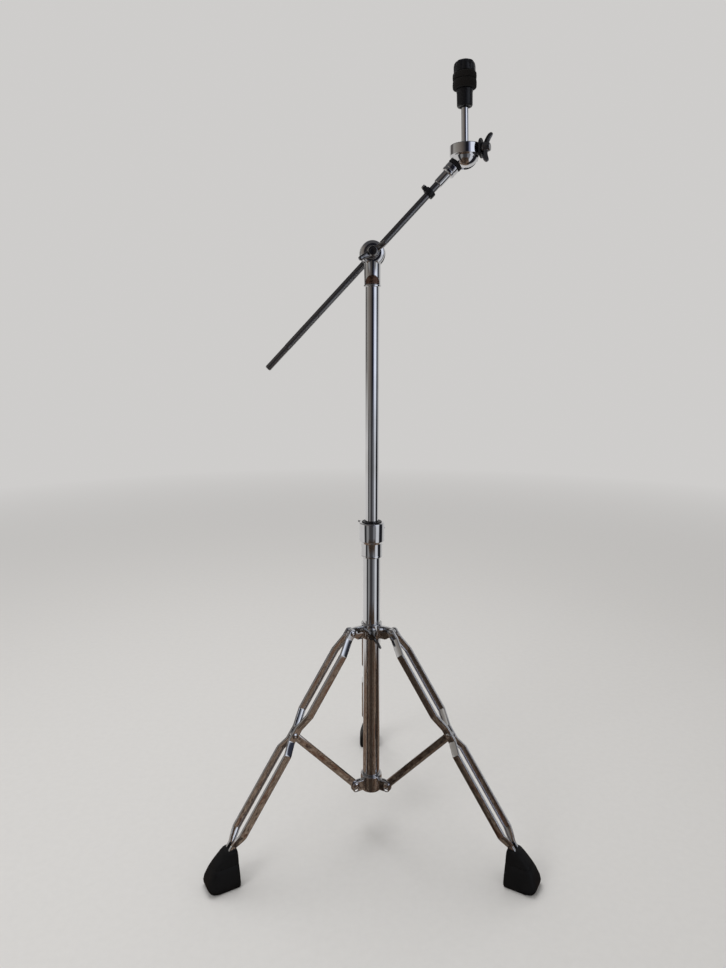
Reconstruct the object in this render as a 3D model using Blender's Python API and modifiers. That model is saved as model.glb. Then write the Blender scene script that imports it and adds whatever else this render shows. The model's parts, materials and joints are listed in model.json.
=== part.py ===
"""Boom stand for a cymbal: a folding tripod, a telescoping tube, a tilting boom rod and a ball tilter.

Lengths are written in millimetres and multiplied by MM. +Z is up, the floor is z = 0, and the
origin is the middle of the space that the stand takes up on the floor. The boom leans towards +X,
one leg points to +Y, and the stand's front faces -Y.
"""

import math

import bmesh
import bpy
from mathutils import Vector

MM = 0.001
GAP = 0.3 * MM

# Upright, whose axis is in front of the origin because the rear leg reaches further back
TUBE_SETBACK = -59.155 * MM
BASE_TUBE_RADIUS = 12.7 * MM
UPPER_TUBE_RADIUS = 9.55 * MM
TUBE_WALL = 1.5 * MM
BASE_TUBE_BOTTOM = 71 * MM
BASE_TUBE_TOP = 478 * MM
UPPER_TUBE_BOTTOM = 380 * MM
TILTER_HEIGHT = 872.8 * MM
RECEIVER_BOTTOM = 829 * MM
TUBE_IN_RECEIVER = 23 * MM
CLAMP_BOTTOM = 447 * MM
CLAMP_STEP = 470 * MM
CLAMP_TOP = 499 * MM
CLAMP_BOLT_HEIGHT = 486 * MM

# Tripod, in the plane of one leg: (distance from the tube's axis, height)
LEG_AZIMUTHS = (90, 210, 330)
LEG_PIVOT = Vector((35.8, 336.0)) * MM
MID_PIVOT = Vector((130.5, 199.0)) * MM
BRACE_PIVOT = Vector((28.5, 84.0)) * MM
BRACE_PIVOT_DROP = 7.7 * MM
LEG_LENGTH = 358.5 * MM
LEG_COLLAR_BOTTOM = 322 * MM
LEG_COLLAR_TOP = 345 * MM
LEG_COLLAR_RADIUS = 15.6 * MM
LEG_BOLT_HEIGHT = 334 * MM
BOTTOM_COLLAR_BOTTOM = 70 * MM
BOTTOM_COLLAR_TOP = 96 * MM
BAR_WIDTH = 11.6 * MM
BAR_TIP = 4 * MM
BAR_DEPTH = 4 * MM
BAR_SHEET = 1.6 * MM
BAR_SPREAD = 15 * MM
BRACE_WIDTH = 11.5 * MM
BRACE_THICKNESS = 3 * MM
LUG_THICKNESS = 6 * MM
RIVET_RADIUS = 2.5 * MM
FOOT_INNER = 223 * MM
FOOT_OUTER = 269 * MM
FOOT_HEIGHT = 54 * MM

# Boom, along its rod: distances from the tilter's axis
BOOM_ANGLE = math.radians(46.2)
BOOM_SETBACK = 17 * MM
BOOM_RADIUS = 4.7 * MM
BOOM_TAIL = -214 * MM
BOOM_HEAD = 149 * MM
STOP_RING_CENTRE = 111.5 * MM
SOCKET_START = 126.9 * MM
GASKET_START = 158.5 * MM
BALL_CENTRE = 179.5 * MM
BALL_RADIUS = 9 * MM
NECK_RADIUS = 4.2 * MM

# Cymbal rod, along its axis: heights above the ball's centre
ROD_LEAN = math.radians(2)
CUP_RADIUS = 20.5 * MM
CUP_TOP = 11.2 * MM
BOWL_RADIUS = 19 * MM
ROD_RADIUS = 4.8 * MM
SLEEVE_BOTTOM = 58.4 * MM
FELT_BOTTOM = 80.6 * MM
FELT_MIDDLE = 91 * MM
FELT_TOP = 99.6 * MM
NUT_TOP = 114.6 * MM

CYMBAL_BOLT_AZIMUTH = math.radians(-25)

BOLT_RADIUS = 3.9 * MM
BOLT_HOLE_RADIUS = 4.3 * MM
FORK_CHEEK = 2.6 * MM
FORK_DEPTH = 19.4 * MM

PALETTE = {
    "chrome": ((0.62, 0.62, 0.63, 1), 0.12, 1.0),
    "dark_chrome": ((0.22, 0.22, 0.24, 1), 0.3, 1.0),
    "zinc_steel": ((0.45, 0.45, 0.45, 1), 0.4, 1.0),
    "black_rubber": ((0.012, 0.012, 0.012, 1), 0.75, 0.0),
    "black_nylon": ((0.012, 0.012, 0.014, 1), 0.4, 0.0),
    "black_felt": ((0.016, 0.014, 0.013, 1), 0.95, 0.0),
}

QUARTER = math.radians(90)
ALONG_X = (0, QUARTER, 0)
ALONG_MINUS_Y = (QUARTER, 0, 0)
ALONG_PLUS_Y = (-QUARTER, 0, 0)


# Scene, materials and the basic shapes


def clear_scene():
    for old in list(bpy.data.objects):
        bpy.data.objects.remove(old, do_unlink=True)


def make_collection(name):
    collection = bpy.data.collections.new(name)
    bpy.context.scene.collection.children.link(collection)
    return collection


def make_material(name):
    colour, roughness, metallic = PALETTE[name]
    material = bpy.data.materials.new(name)
    material.use_nodes = True
    material.diffuse_color = colour
    shader = material.node_tree.nodes["Principled BSDF"]
    shader.inputs["Base Color"].default_value = colour
    shader.inputs["Roughness"].default_value = roughness
    shader.inputs["Metallic"].default_value = metallic
    return material


def make_empty(name, parent, location=(0, 0, 0), rotation=(0, 0, 0)):
    empty = bpy.data.objects.new(name, None)
    empty.empty_display_size = 10 * MM
    PARTS.objects.link(empty)
    place(empty, parent, location, rotation)
    return empty


def place(obj, parent, location, rotation):
    obj.parent = parent
    obj.location = location
    obj.rotation_euler = rotation


def part(mesh, name, material, parent=None, location=(0, 0, 0), rotation=(0, 0, 0)):
    """A visible piece that holds this mesh. With no parent, it is placed from the foot of the tube."""
    obj = bpy.data.objects.new(name, mesh)
    mesh.materials.append(MATERIALS[material])
    PARTS.objects.link(obj)
    place(obj, parent or TUBE_AXIS, location, rotation)
    return obj


def helper(mesh, location=(0, 0, 0), rotation=(0, 0, 0)):
    """A hidden shape that a Boolean uses."""
    obj = bpy.data.objects.new("shape", mesh)
    obj.hide_render = True
    obj.display_type = "WIRE"
    CUTTERS.objects.link(obj)
    place(obj, None, location, rotation)
    return obj


def combine(obj, operation, *others):
    """Joins, cuts or intersects obj with helpers that were placed in its own space."""
    for other in others:
        if other.parent is None:
            other.parent = obj
        modifier = obj.modifiers.new(operation.lower(), "BOOLEAN")
        modifier.operation = operation
        modifier.solver = "EXACT"
        modifier.object = other
    return obj


def turned(profile, steps=24):
    """Turns (radius, height) points round Z: down the outer side, then up the inner side if hollow."""
    mesh = bpy.data.meshes.new("turned")
    shape = bmesh.new()
    points = [shape.verts.new((radius, 0, height)) for radius, height in profile]
    for first, second in zip(points, points[1:]):
        shape.edges.new((first, second))
    if profile[0][0] > 0:
        shape.edges.new((points[-1], points[0]))
    shape.to_mesh(mesh)
    shape.free()
    obj = bpy.data.objects.new("profile", mesh)
    bpy.context.scene.collection.objects.link(obj)
    screw = obj.modifiers.new("turn", "SCREW")
    screw.axis = "Z"
    screw.steps = steps
    screw.render_steps = steps
    screw.use_merge_vertices = True
    screw.merge_threshold = 1e-5
    return realised(obj)


def realised(obj):
    """The evaluated mesh of a temporary object, with doubled points merged and faces turned outwards."""
    graph = bpy.context.evaluated_depsgraph_get()
    mesh = bpy.data.meshes.new_from_object(obj.evaluated_get(graph))
    bpy.data.objects.remove(obj, do_unlink=True)
    shape = bmesh.new()
    shape.from_mesh(mesh)
    bmesh.ops.remove_doubles(shape, verts=shape.verts, dist=1e-6)
    bmesh.ops.recalc_face_normals(shape, faces=shape.faces)
    shape.to_mesh(mesh)
    shape.free()
    return mesh


def cylinder(radius, bottom, top, steps=20):
    return turned([(0, top), (radius, top), (radius, bottom), (0, bottom)], steps)


def tube(outer, inner, bottom, top, edge=0.5 * MM, steps=32):
    """A turned tube with both outer rims chamfered."""
    profile = [
        (outer - edge, top),
        (outer, top - edge),
        (outer, bottom + edge),
        (outer - edge, bottom),
        (inner, bottom),
        (inner, top),
    ]
    return turned(profile, steps)


def plate(points, thickness, rounded=False, resolution=4):
    """An outline in XY, thickened evenly along Z. If rounded, it is a smooth curve through its points."""
    curve = bpy.data.curves.new("outline", "CURVE")
    curve.dimensions = "2D"
    curve.fill_mode = "BOTH"
    curve.extrude = thickness / 2
    curve.resolution_u = resolution
    spline = curve.splines.new("BEZIER" if rounded else "POLY")
    if rounded:
        spline.bezier_points.add(len(points) - 1)
        for knot, (x, y) in zip(spline.bezier_points, points):
            knot.co = (x, y, 0)
            knot.handle_left_type = "AUTO"
            knot.handle_right_type = "AUTO"
    else:
        spline.points.add(len(points) - 1)
        for knot, (x, y) in zip(spline.points, points):
            knot.co = (x, y, 0, 1)
    spline.use_cyclic_u = True
    obj = bpy.data.objects.new("outline", curve)
    bpy.context.scene.collection.objects.link(obj)
    return realised(obj)


def wire(points, radius, resolution=2):
    """A round wire along a line of points, closed at both ends."""
    curve = bpy.data.curves.new("wire", "CURVE")
    curve.dimensions = "3D"
    curve.bevel_depth = radius
    curve.bevel_resolution = resolution
    curve.use_fill_caps = True
    spline = curve.splines.new("POLY")
    spline.points.add(len(points) - 1)
    for knot, point in zip(spline.points, points):
        knot.co = (*point, 1)
    obj = bpy.data.objects.new("wire", curve)
    bpy.context.scene.collection.objects.link(obj)
    return realised(obj)


def box(size, centre=(0, 0, 0)):
    mesh = bpy.data.meshes.new("box")
    shape = bmesh.new()
    bmesh.ops.create_cube(shape, size=1)
    bmesh.ops.scale(shape, vec=size, verts=shape.verts)
    bmesh.ops.translate(shape, vec=centre, verts=shape.verts)
    shape.to_mesh(mesh)
    shape.free()
    return mesh


def arc(centre, radius, start, end, steps):
    """Points on an arc, with its angles in degrees."""
    points = []
    for step in range(steps + 1):
        angle = math.radians(start + (end - start) * step / steps)
        points.append((centre[0] + radius * math.cos(angle), centre[1] + radius * math.sin(angle)))
    return points


def slot_outline(first, second, radius, steps=8):
    """A slot with round ends between two points."""
    heading = math.degrees(math.atan2(second[1] - first[1], second[0] - first[0]))
    return arc(second, radius, heading - 90, heading + 90, steps) + arc(
        first, radius, heading + 90, heading + 270, steps
    )


def upright_plate(points, thickness, rounded=False):
    """A plate whose outline lies in XZ instead of XY, thickened along Y."""
    mesh = plate(points, thickness, rounded)
    shape = bmesh.new()
    shape.from_mesh(mesh)
    for vert in shape.verts:
        vert.co = (vert.co.x, -vert.co.z, vert.co.y)
    shape.to_mesh(mesh)
    shape.free()
    return mesh


def rivet(grip, radius=RIVET_RADIUS, head_radius=4.2 * MM, head_height=1.6 * MM):
    """A rivet along Z, centred, with a domed head against each side of its grip."""
    half = grip / 2
    profile = [
        (0, half + head_height),
        (head_radius * 0.6, half + head_height * 0.8),
        (head_radius, half + GAP),
        (radius, half + GAP),
        (radius, -half - GAP),
        (head_radius, -half - GAP),
        (head_radius * 0.6, -half - head_height * 0.8),
        (0, -half - head_height),
    ]
    return turned(profile, 16)


def wing_outline(span, low, high):
    """The bow shape of two wings that sweep away from the clamped piece."""
    reach = span / 2
    right = [
        (reach * 0.4, low + (high - low) * 0.06),
        (reach * 0.84, low + (high - low) * 0.38),
        (reach, low + (high - low) * 0.8),
        (reach * 0.84, high),
        (reach * 0.44, low + (high - low) * 0.66),
    ]
    left = [(-x, y) for x, y in reversed(right)]
    return [(0, low)] + right + [(0, low + (high - low) * 0.5)] + left


def wing_bolt(
    name, parent, location, rotation, shank_length, span=42 * MM, turn=0.0, sweep=17 * MM
):
    """A wing bolt along Z: the hub starts at z = 0 and the shank runs to -Z. turn is the wings' angle."""
    hub_radius = 7 * MM
    hub_height = 11 * MM
    profile = [
        (0, hub_height),
        (hub_radius * 0.7, hub_height),
        (hub_radius * 0.85, hub_height * 0.6),
        (hub_radius, 1.5 * MM),
        (hub_radius, 0),
        (BOLT_RADIUS, 0),
        (BOLT_RADIUS, -shank_length + 0.8 * MM),
        (BOLT_RADIUS - 0.8 * MM, -shank_length),
        (0, -shank_length),
    ]
    bolt = part(turned(profile, 20), name, "chrome", parent, location, rotation)
    wings = upright_plate(wing_outline(span, 2.5 * MM, sweep), 4.6 * MM, rounded=True)
    return combine(bolt, "UNION", helper(wings, rotation=(0, 0, turn)))


# Upright: tubes, clamps and their bushing


def build_tubes():
    part(
        tube(BASE_TUBE_RADIUS, BASE_TUBE_RADIUS - TUBE_WALL, BASE_TUBE_BOTTOM, BASE_TUBE_TOP),
        "base_tube",
        "chrome",
    )
    part(
        tube(
            UPPER_TUBE_RADIUS,
            UPPER_TUBE_RADIUS - TUBE_WALL,
            UPPER_TUBE_BOTTOM,
            RECEIVER_BOTTOM + TUBE_IN_RECEIVER,
        ),
        "upper_tube",
        "chrome",
    )
    build_end_plug()
    build_bushing()


def build_end_plug():
    """The plastic plug that closes the base tube's lower end."""
    inner = BASE_TUBE_RADIUS - TUBE_WALL - GAP
    cap_top = BASE_TUBE_BOTTOM - GAP
    profile = [
        (0, cap_top + 8 * MM),
        (inner, cap_top + 8 * MM),
        (inner, cap_top),
        (BASE_TUBE_RADIUS, cap_top),
        (BASE_TUBE_RADIUS, cap_top - 2 * MM),
        (BASE_TUBE_RADIUS - 1.5 * MM, cap_top - 3 * MM),
        (0, cap_top - 3 * MM),
    ]
    part(turned(profile, 28), "tube_end_plug", "black_nylon")


def build_bushing():
    """The nylon sleeve that the upper tube slides and turns in, with a rim on top of the clamp."""
    bore = UPPER_TUBE_RADIUS + GAP
    inside_tube = BASE_TUBE_RADIUS - TUBE_WALL - GAP
    inside_clamp = BASE_TUBE_RADIUS - 0.1 * MM
    profile = [
        (inside_clamp + 1.6 * MM, CLAMP_TOP + 2.2 * MM),
        (inside_clamp + 2.2 * MM, CLAMP_TOP + 1.4 * MM),
        (inside_clamp + 2.2 * MM, CLAMP_TOP + GAP),
        (inside_clamp, CLAMP_TOP + GAP),
        (inside_clamp, BASE_TUBE_TOP + GAP),
        (inside_tube, BASE_TUBE_TOP + GAP),
        (inside_tube, BASE_TUBE_TOP - 32 * MM),
        (bore, BASE_TUBE_TOP - 32 * MM),
        (bore, CLAMP_TOP + 2.2 * MM),
    ]
    part(turned(profile, 32), "height_bushing", "black_nylon")


def build_height_clamp():
    """The stepped clamp on top of the base tube, with the boss that its wing bolt goes through."""
    wide = 18.4 * MM
    narrow = 15.5 * MM
    bore = BASE_TUBE_RADIUS + GAP
    profile = [
        (wide - 1.2 * MM, CLAMP_TOP),
        (wide, CLAMP_TOP - 1.2 * MM),
        (wide, CLAMP_STEP + 1 * MM),
        (narrow, CLAMP_STEP - 2 * MM),
        (narrow, CLAMP_BOTTOM + 0.8 * MM),
        (narrow - 0.8 * MM, CLAMP_BOTTOM),
        (bore, CLAMP_BOTTOM),
        (bore, CLAMP_TOP),
    ]
    clamp = part(turned(profile, 36), "height_clamp", "chrome")
    boss_end = wide + 4 * MM
    boss = helper(
        cylinder(7.5 * MM, 15 * MM, boss_end), (0, 0, CLAMP_BOLT_HEIGHT), ALONG_PLUS_Y
    )
    hole = helper(
        cylinder(BOLT_HOLE_RADIUS, 8 * MM, boss_end + 5 * MM),
        (0, 0, CLAMP_BOLT_HEIGHT),
        ALONG_PLUS_Y,
    )
    combine(clamp, "UNION", boss)
    combine(clamp, "DIFFERENCE", hole)
    wing_bolt(
        "height_wing_bolt",
        None,
        (0, boss_end + GAP, CLAMP_BOLT_HEIGHT),
        ALONG_PLUS_Y,
        boss_end - BASE_TUBE_RADIUS,
        turn=math.radians(15),
    )


# Tripod


def radial_frame(name, azimuth):
    """An empty whose +X points along a leg, away from the tube."""
    return make_empty(name, TUBE_AXIS, rotation=(0, 0, math.radians(azimuth)))


def leg_direction():
    return (MID_PIVOT - LEG_PIVOT).normalized()


def brace_length():
    return (MID_PIVOT - BRACE_PIVOT).length


def build_leg_collar():
    """The collar that slides on the base tube, with a lug for each leg and a wing bolt."""
    middle = (LEG_COLLAR_BOTTOM + LEG_COLLAR_TOP) / 2
    half = (LEG_COLLAR_TOP - LEG_COLLAR_BOTTOM) / 2
    outer = LEG_COLLAR_RADIUS
    ring = tube(outer, BASE_TUBE_RADIUS + GAP, -half, half, edge=1 * MM)
    collar = part(ring, "leg_collar", "chrome", location=(0, 0, middle))
    for azimuth in LEG_AZIMUTHS:
        turn = (0, 0, math.radians(azimuth))
        combine(collar, "UNION", helper(leg_lug(middle), rotation=turn))
    boss_end = outer + 5.4 * MM
    bolt_level = LEG_BOLT_HEIGHT - middle
    boss = helper(cylinder(7 * MM, 14 * MM, boss_end), (0, 0, bolt_level), ALONG_MINUS_Y)
    combine(collar, "UNION", boss)
    pivot = (LEG_PIVOT.x, 0, LEG_PIVOT.y - middle)
    for azimuth in LEG_AZIMUTHS:
        bore = helper(
            turned_hole(RIVET_RADIUS + GAP, 20 * MM, pivot), rotation=(0, 0, math.radians(azimuth))
        )
        combine(collar, "DIFFERENCE", bore)
    hole = helper(
        cylinder(BOLT_HOLE_RADIUS, 9 * MM, boss_end + 5 * MM),
        (0, 0, bolt_level),
        ALONG_MINUS_Y,
    )
    combine(collar, "DIFFERENCE", hole)
    wing_bolt(
        "leg_collar_wing_bolt",
        None,
        (0, -boss_end - GAP, LEG_BOLT_HEIGHT),
        ALONG_MINUS_Y,
        boss_end - BASE_TUBE_RADIUS,
        turn=math.radians(-50),
    )


def leg_lug(middle):
    """The lug's side view: level by the collar, then rounded about the leg's pivot."""
    radius, height = LEG_PIVOT
    low = LEG_COLLAR_BOTTOM + 0.5 * MM - middle
    high = height + 6 * MM - middle
    end = 5 * MM
    root = LEG_COLLAR_RADIUS - 1.5 * MM
    outline = [(root, low), (radius - 11 * MM, low)]
    outline += arc((radius, height - middle), end, -55, 80, 8)
    outline += [(radius - 9 * MM, high), (root, high)]
    return upright_plate(outline, LUG_THICKNESS)


def build_bottom_collar():
    """The fixed collar at the foot of the base tube, with a forked lug for each brace."""
    middle = (BOTTOM_COLLAR_BOTTOM + BOTTOM_COLLAR_TOP) / 2
    half = (BOTTOM_COLLAR_TOP - BOTTOM_COLLAR_BOTTOM) / 2
    ring = tube(17 * MM, BASE_TUBE_RADIUS + GAP, -half, half, edge=1 * MM)
    collar = part(ring, "bottom_collar", "chrome", location=(0, 0, middle))
    radius, height = BRACE_PIVOT
    level = height - middle
    lug_radius = 7 * MM
    lug_low = level - BRACE_PIVOT_DROP + 2.2 * MM
    outline = [(15 * MM, lug_low - lug_radius)]
    outline += arc((radius, lug_low), lug_radius, -90, 0, 5)
    outline += arc((radius, level), lug_radius, 0, 90, 5)
    outline += [(15 * MM, level + lug_radius)]
    fork = BRACE_THICKNESS + 2 * GAP
    for azimuth in LEG_AZIMUTHS:
        turn = (0, 0, math.radians(azimuth))
        combine(
            collar, "UNION", helper(upright_plate(outline, fork + 2 * FORK_CHEEK), rotation=turn)
        )
    for azimuth in LEG_AZIMUTHS:
        turn = (0, 0, math.radians(azimuth))
        gap_box = box((30 * MM, fork, 40 * MM), (FORK_DEPTH + 15 * MM, 0, level))
        slot = brace_slot(level)
        combine(collar, "DIFFERENCE", helper(gap_box, rotation=turn), helper(slot, rotation=turn))
    combine(collar, "DIFFERENCE", helper(cylinder(2.3 * MM, -30 * MM, 30 * MM, 12), rotation=ALONG_X))
    part(
        cylinder(2 * MM, -16.4 * MM, 16.4 * MM, 12),
        "bottom_collar_pin",
        "zinc_steel",
        location=(0, 0, middle),
        rotation=ALONG_X,
    )
    tube_hole = helper(cylinder(2.3 * MM, -30 * MM, 30 * MM, 12), (0, 0, middle), ALONG_X)
    combine(bpy.data.objects["base_tube"], "DIFFERENCE", tube_hole)


def brace_slot(level):
    """The upright slot in which a brace's lower rivet rides while the tripod folds."""
    centre = BRACE_PIVOT.x - 0.3 * MM
    slot = slot_outline(
        (centre, level), (centre, level - BRACE_PIVOT_DROP), RIVET_RADIUS + 0.75 * MM, 6
    )
    return upright_plate(slot, 20 * MM)


def turned_hole(radius, length, centre):
    """A cylinder along Y at a point, for cutting a hole."""
    mesh = cylinder(radius, -length / 2, length / 2, 14)
    shape = bmesh.new()
    shape.from_mesh(mesh)
    for vert in shape.verts:
        vert.co = (vert.co.x + centre[0], -vert.co.z + centre[1], vert.co.y + centre[2])
    shape.to_mesh(mesh)
    shape.free()
    return mesh


def bar_offsets():
    """(distance along the leg, tangential offset of the bar's outer face) where the bar bends."""
    mid = (MID_PIVOT - LEG_PIVOT).length
    at_lug = LUG_THICKNESS / 2 + GAP + BAR_DEPTH
    at_brace = BRACE_THICKNESS / 2 + GAP + BAR_DEPTH
    return [
        (-12 * MM, at_lug),
        (10 * MM, at_lug),
        (34 * MM, BAR_SPREAD),
        (mid - 35 * MM, BAR_SPREAD),
        (mid - 11 * MM, at_brace),
        (mid + 9 * MM, at_brace),
        (mid + 27 * MM, BAR_SPREAD),
        (LEG_LENGTH - 40 * MM, BAR_SPREAD),
        (LEG_LENGTH - 21 * MM, at_lug),
        (LEG_LENGTH + 5 * MM, at_lug),
    ]


def bar_side_outline():
    """The bar seen from its side: a round top, straight edges and a taper into the rubber foot."""
    half = BAR_WIDTH / 2
    tip = BAR_TIP
    return arc((0, 0), half, 90, 270, 10) + [
        (LEG_LENGTH - 34 * MM, -half),
        (LEG_LENGTH - 20 * MM, -tip),
        (LEG_LENGTH, -tip),
        (LEG_LENGTH, tip),
        (LEG_LENGTH - 20 * MM, tip),
        (LEG_LENGTH - 34 * MM, half),
    ]


def build_bar(name, side, frame):
    """One of the two channel bars of a leg. X runs down the leg and side is the side of the leg plane."""
    mid = (MID_PIVOT - LEG_PIVOT).length
    path = [(along - mid, side * offset) for along, offset in bar_offsets()]
    back = [(along, offset - side * BAR_DEPTH) for along, offset in reversed(path)]
    inside = [(along, offset - side * BAR_SHEET) for along, offset in path]
    inside_back = [(along, offset - side * 3 * BAR_DEPTH) for along, offset in reversed(path)]
    bar = part(plate(path + back, BAR_WIDTH * 1.3), name, "chrome", frame)
    side_shape = [(along - mid, height) for along, height in bar_side_outline()]
    combine(bar, "INTERSECT", helper(upright_plate(side_shape, 60 * MM)))
    channel = plate(inside + inside_back, BAR_WIDTH - 2 * BAR_SHEET)
    combine(bar, "DIFFERENCE", helper(channel))
    pin_place = LEG_LENGTH - 8 * MM - mid
    for along in (-mid, 0, pin_place):
        hole = turned_hole(RIVET_RADIUS + GAP, 60 * MM, (along, 0, 0))
        combine(bar, "DIFFERENCE", helper(hole))


def build_foot(name, frame):
    """The rubber foot, with its flat sole on the floor and a pocket for the two bars."""
    outline = [
        (FOOT_INNER, 0),
        (FOOT_OUTER - 7 * MM, 0),
        (FOOT_OUTER - 2 * MM, 3 * MM),
        (FOOT_OUTER, 9 * MM),
        (FOOT_OUTER - 1.5 * MM, 17 * MM),
        (FOOT_OUTER - 6 * MM, 28 * MM),
        (FOOT_OUTER - 13 * MM, 39 * MM),
        (FOOT_OUTER - 22 * MM, 49 * MM),
        (FOOT_OUTER - 27 * MM, FOOT_HEIGHT),
        (FOOT_INNER + 0.7 * MM, FOOT_HEIGHT),
        (FOOT_INNER, FOOT_HEIGHT - 3 * MM),
    ]
    foot = part(upright_plate(outline, 60 * MM), name, "black_rubber", frame)
    across = [
        (-18 * MM, -1 * MM),
        (18 * MM, -1 * MM),
        (19 * MM, 6 * MM),
        (18 * MM, 16 * MM),
        (13.5 * MM, 34 * MM),
        (10.5 * MM, FOOT_HEIGHT + 1 * MM),
    ]
    across += [(-x, z) for x, z in reversed(across[2:])]
    front = helper(
        upright_plate(across, 120 * MM), (FOOT_OUTER - 20 * MM, 0, 0), (0, 0, QUARTER)
    )
    combine(foot, "INTERSECT", front)
    direction = leg_direction()
    end = LEG_PIVOT + direction * LEG_LENGTH
    tilt = math.atan2(-direction.y, direction.x)
    pocket_width = LUG_THICKNESS + 2 * GAP + 2 * BAR_DEPTH + 2 * GAP
    pocket = box(
        (60 * MM, pocket_width, 2 * (BAR_TIP + GAP)), (-30 * MM + GAP, 0, 0)
    )
    combine(foot, "DIFFERENCE", helper(pocket, (end.x, 0, end.y), (0, tilt, 0)))
    pin_at = LEG_PIVOT + direction * (LEG_LENGTH - 8 * MM)
    hole = turned_hole(RIVET_RADIUS + GAP, 60 * MM, (pin_at.x, 0, pin_at.y))
    combine(foot, "DIFFERENCE", helper(hole))
    return pin_at


def build_leg(number, azimuth):
    """A leg, its brace, their rivets and the rubber foot."""
    frame = radial_frame(f"leg_{number}_plane", azimuth)
    direction = leg_direction()
    leg_tilt = math.atan2(-direction.y, direction.x)
    hinge = make_empty(
        f"leg_{number}_hinge", frame, (MID_PIVOT.x, 0, MID_PIVOT.y), (0, leg_tilt, 0)
    )
    build_bar(f"leg_{number}_left_bar", 1, hinge)
    build_bar(f"leg_{number}_right_bar", -1, hinge)
    at_lug = LUG_THICKNESS + 2 * GAP + 2 * BAR_DEPTH
    mid = (MID_PIVOT - LEG_PIVOT).length
    part(
        rivet(at_lug),
        f"leg_pivot_rivet_{number}",
        "chrome",
        hinge,
        (-mid, 0, 0),
        ALONG_MINUS_Y,
    )
    build_brace(number, frame)
    pin_at = build_foot(f"rubber_foot_{number}", frame)
    part(
        cylinder(RIVET_RADIUS, -10.5 * MM, 10.5 * MM, 12),
        f"foot_pin_{number}",
        "zinc_steel",
        frame,
        (pin_at.x, 0, pin_at.y),
        ALONG_MINUS_Y,
    )


def build_brace(number, frame):
    """The flat bar from the bottom collar to the middle of the leg, with its two rivets."""
    heading = MID_PIVOT - BRACE_PIVOT
    tilt = -math.atan2(heading.y, heading.x)
    hinge = make_empty(
        f"brace_{number}_hinge", frame, (BRACE_PIVOT.x, 0, BRACE_PIVOT.y), (0, tilt, 0)
    )
    length = brace_length()
    outline = slot_outline((0, 0), (length, 0), BRACE_WIDTH / 2)
    brace = part(upright_plate(outline, BRACE_THICKNESS), f"brace_{number}", "chrome", hinge)
    for along in (0, length):
        hole = turned_hole(RIVET_RADIUS + GAP, 20 * MM, (along, 0, 0))
        combine(brace, "DIFFERENCE", helper(hole))
    at_brace = BRACE_THICKNESS + 2 * GAP + 2 * BAR_DEPTH
    part(
        rivet(at_brace),
        f"brace_leg_rivet_{number}",
        "chrome",
        hinge,
        (length, 0, 0),
        ALONG_MINUS_Y,
    )
    at_fork = BRACE_THICKNESS + 2 * GAP + 2 * FORK_CHEEK
    part(
        rivet(at_fork),
        f"brace_pivot_rivet_{number}",
        "chrome",
        frame,
        (BRACE_PIVOT.x, 0, BRACE_PIVOT.y),
        ALONG_MINUS_Y,
    )


# Boom tilter


def build_receiver(frame):
    """The sleeve on the upper tube and the round head that the boom clamp turns against."""
    bottom = RECEIVER_BOTTOM - TILTER_HEIGHT
    outer = 11.15 * MM
    bore = UPPER_TUBE_RADIUS + GAP
    bore_top = bottom + TUBE_IN_RECEIVER + GAP
    profile = [
        (0, -6 * MM),
        (outer, -6 * MM),
        (outer, bottom + 2.6 * MM),
        (outer + 0.7 * MM, bottom + 2 * MM),
        (outer + 0.7 * MM, bottom),
        (bore, bottom),
        (bore, bore_top),
        (0, bore_top),
    ]
    receiver = part(turned(profile, 32), "boom_receiver", "chrome", frame)
    head_radius = 16.6 * MM
    head = turned(
        [
            (0, 11 * MM),
            (head_radius - 4 * MM, 11 * MM),
            (head_radius - 1 * MM, 9 * MM),
            (head_radius, 6 * MM),
            (head_radius, -2.6 * MM),
            (0, -2.6 * MM),
        ],
        36,
    )
    room = 30 * MM
    behind_head = box((2 * room, room, room), (0, 2.6 * MM + room / 2, room / 2 - 18 * MM))
    combine(receiver, "DIFFERENCE", helper(behind_head))
    combine(receiver, "UNION", helper(head, rotation=ALONG_MINUS_Y))
    bolt_bore = helper(cylinder(BOLT_HOLE_RADIUS, -30 * MM, 30 * MM), rotation=ALONG_PLUS_Y)
    spring_pocket = helper(cylinder(7.2 * MM, -6 * MM, 10 * MM), rotation=ALONG_PLUS_Y)
    combine(receiver, "DIFFERENCE", bolt_bore, spring_pocket, arch_recess(bottom, outer))


def arch_recess(bottom, outer):
    """The shallow arch pressed into the front of the sleeve, just above its rim."""
    low = bottom + 3.2 * MM
    width = 15 * MM
    outline = [(-width / 2, low), (width / 2, low)] + arc(
        (0, low + 4.5 * MM), width / 2, 0, 180, 10
    )
    arch = helper(upright_plate(outline, 10 * MM), (0, -outer, 0))
    core = helper(cylinder(outer - 0.6 * MM, bottom - 10 * MM, 10 * MM, 32))
    core.location = (0, outer, 0)
    return combine(arch, "DIFFERENCE", core)


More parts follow.
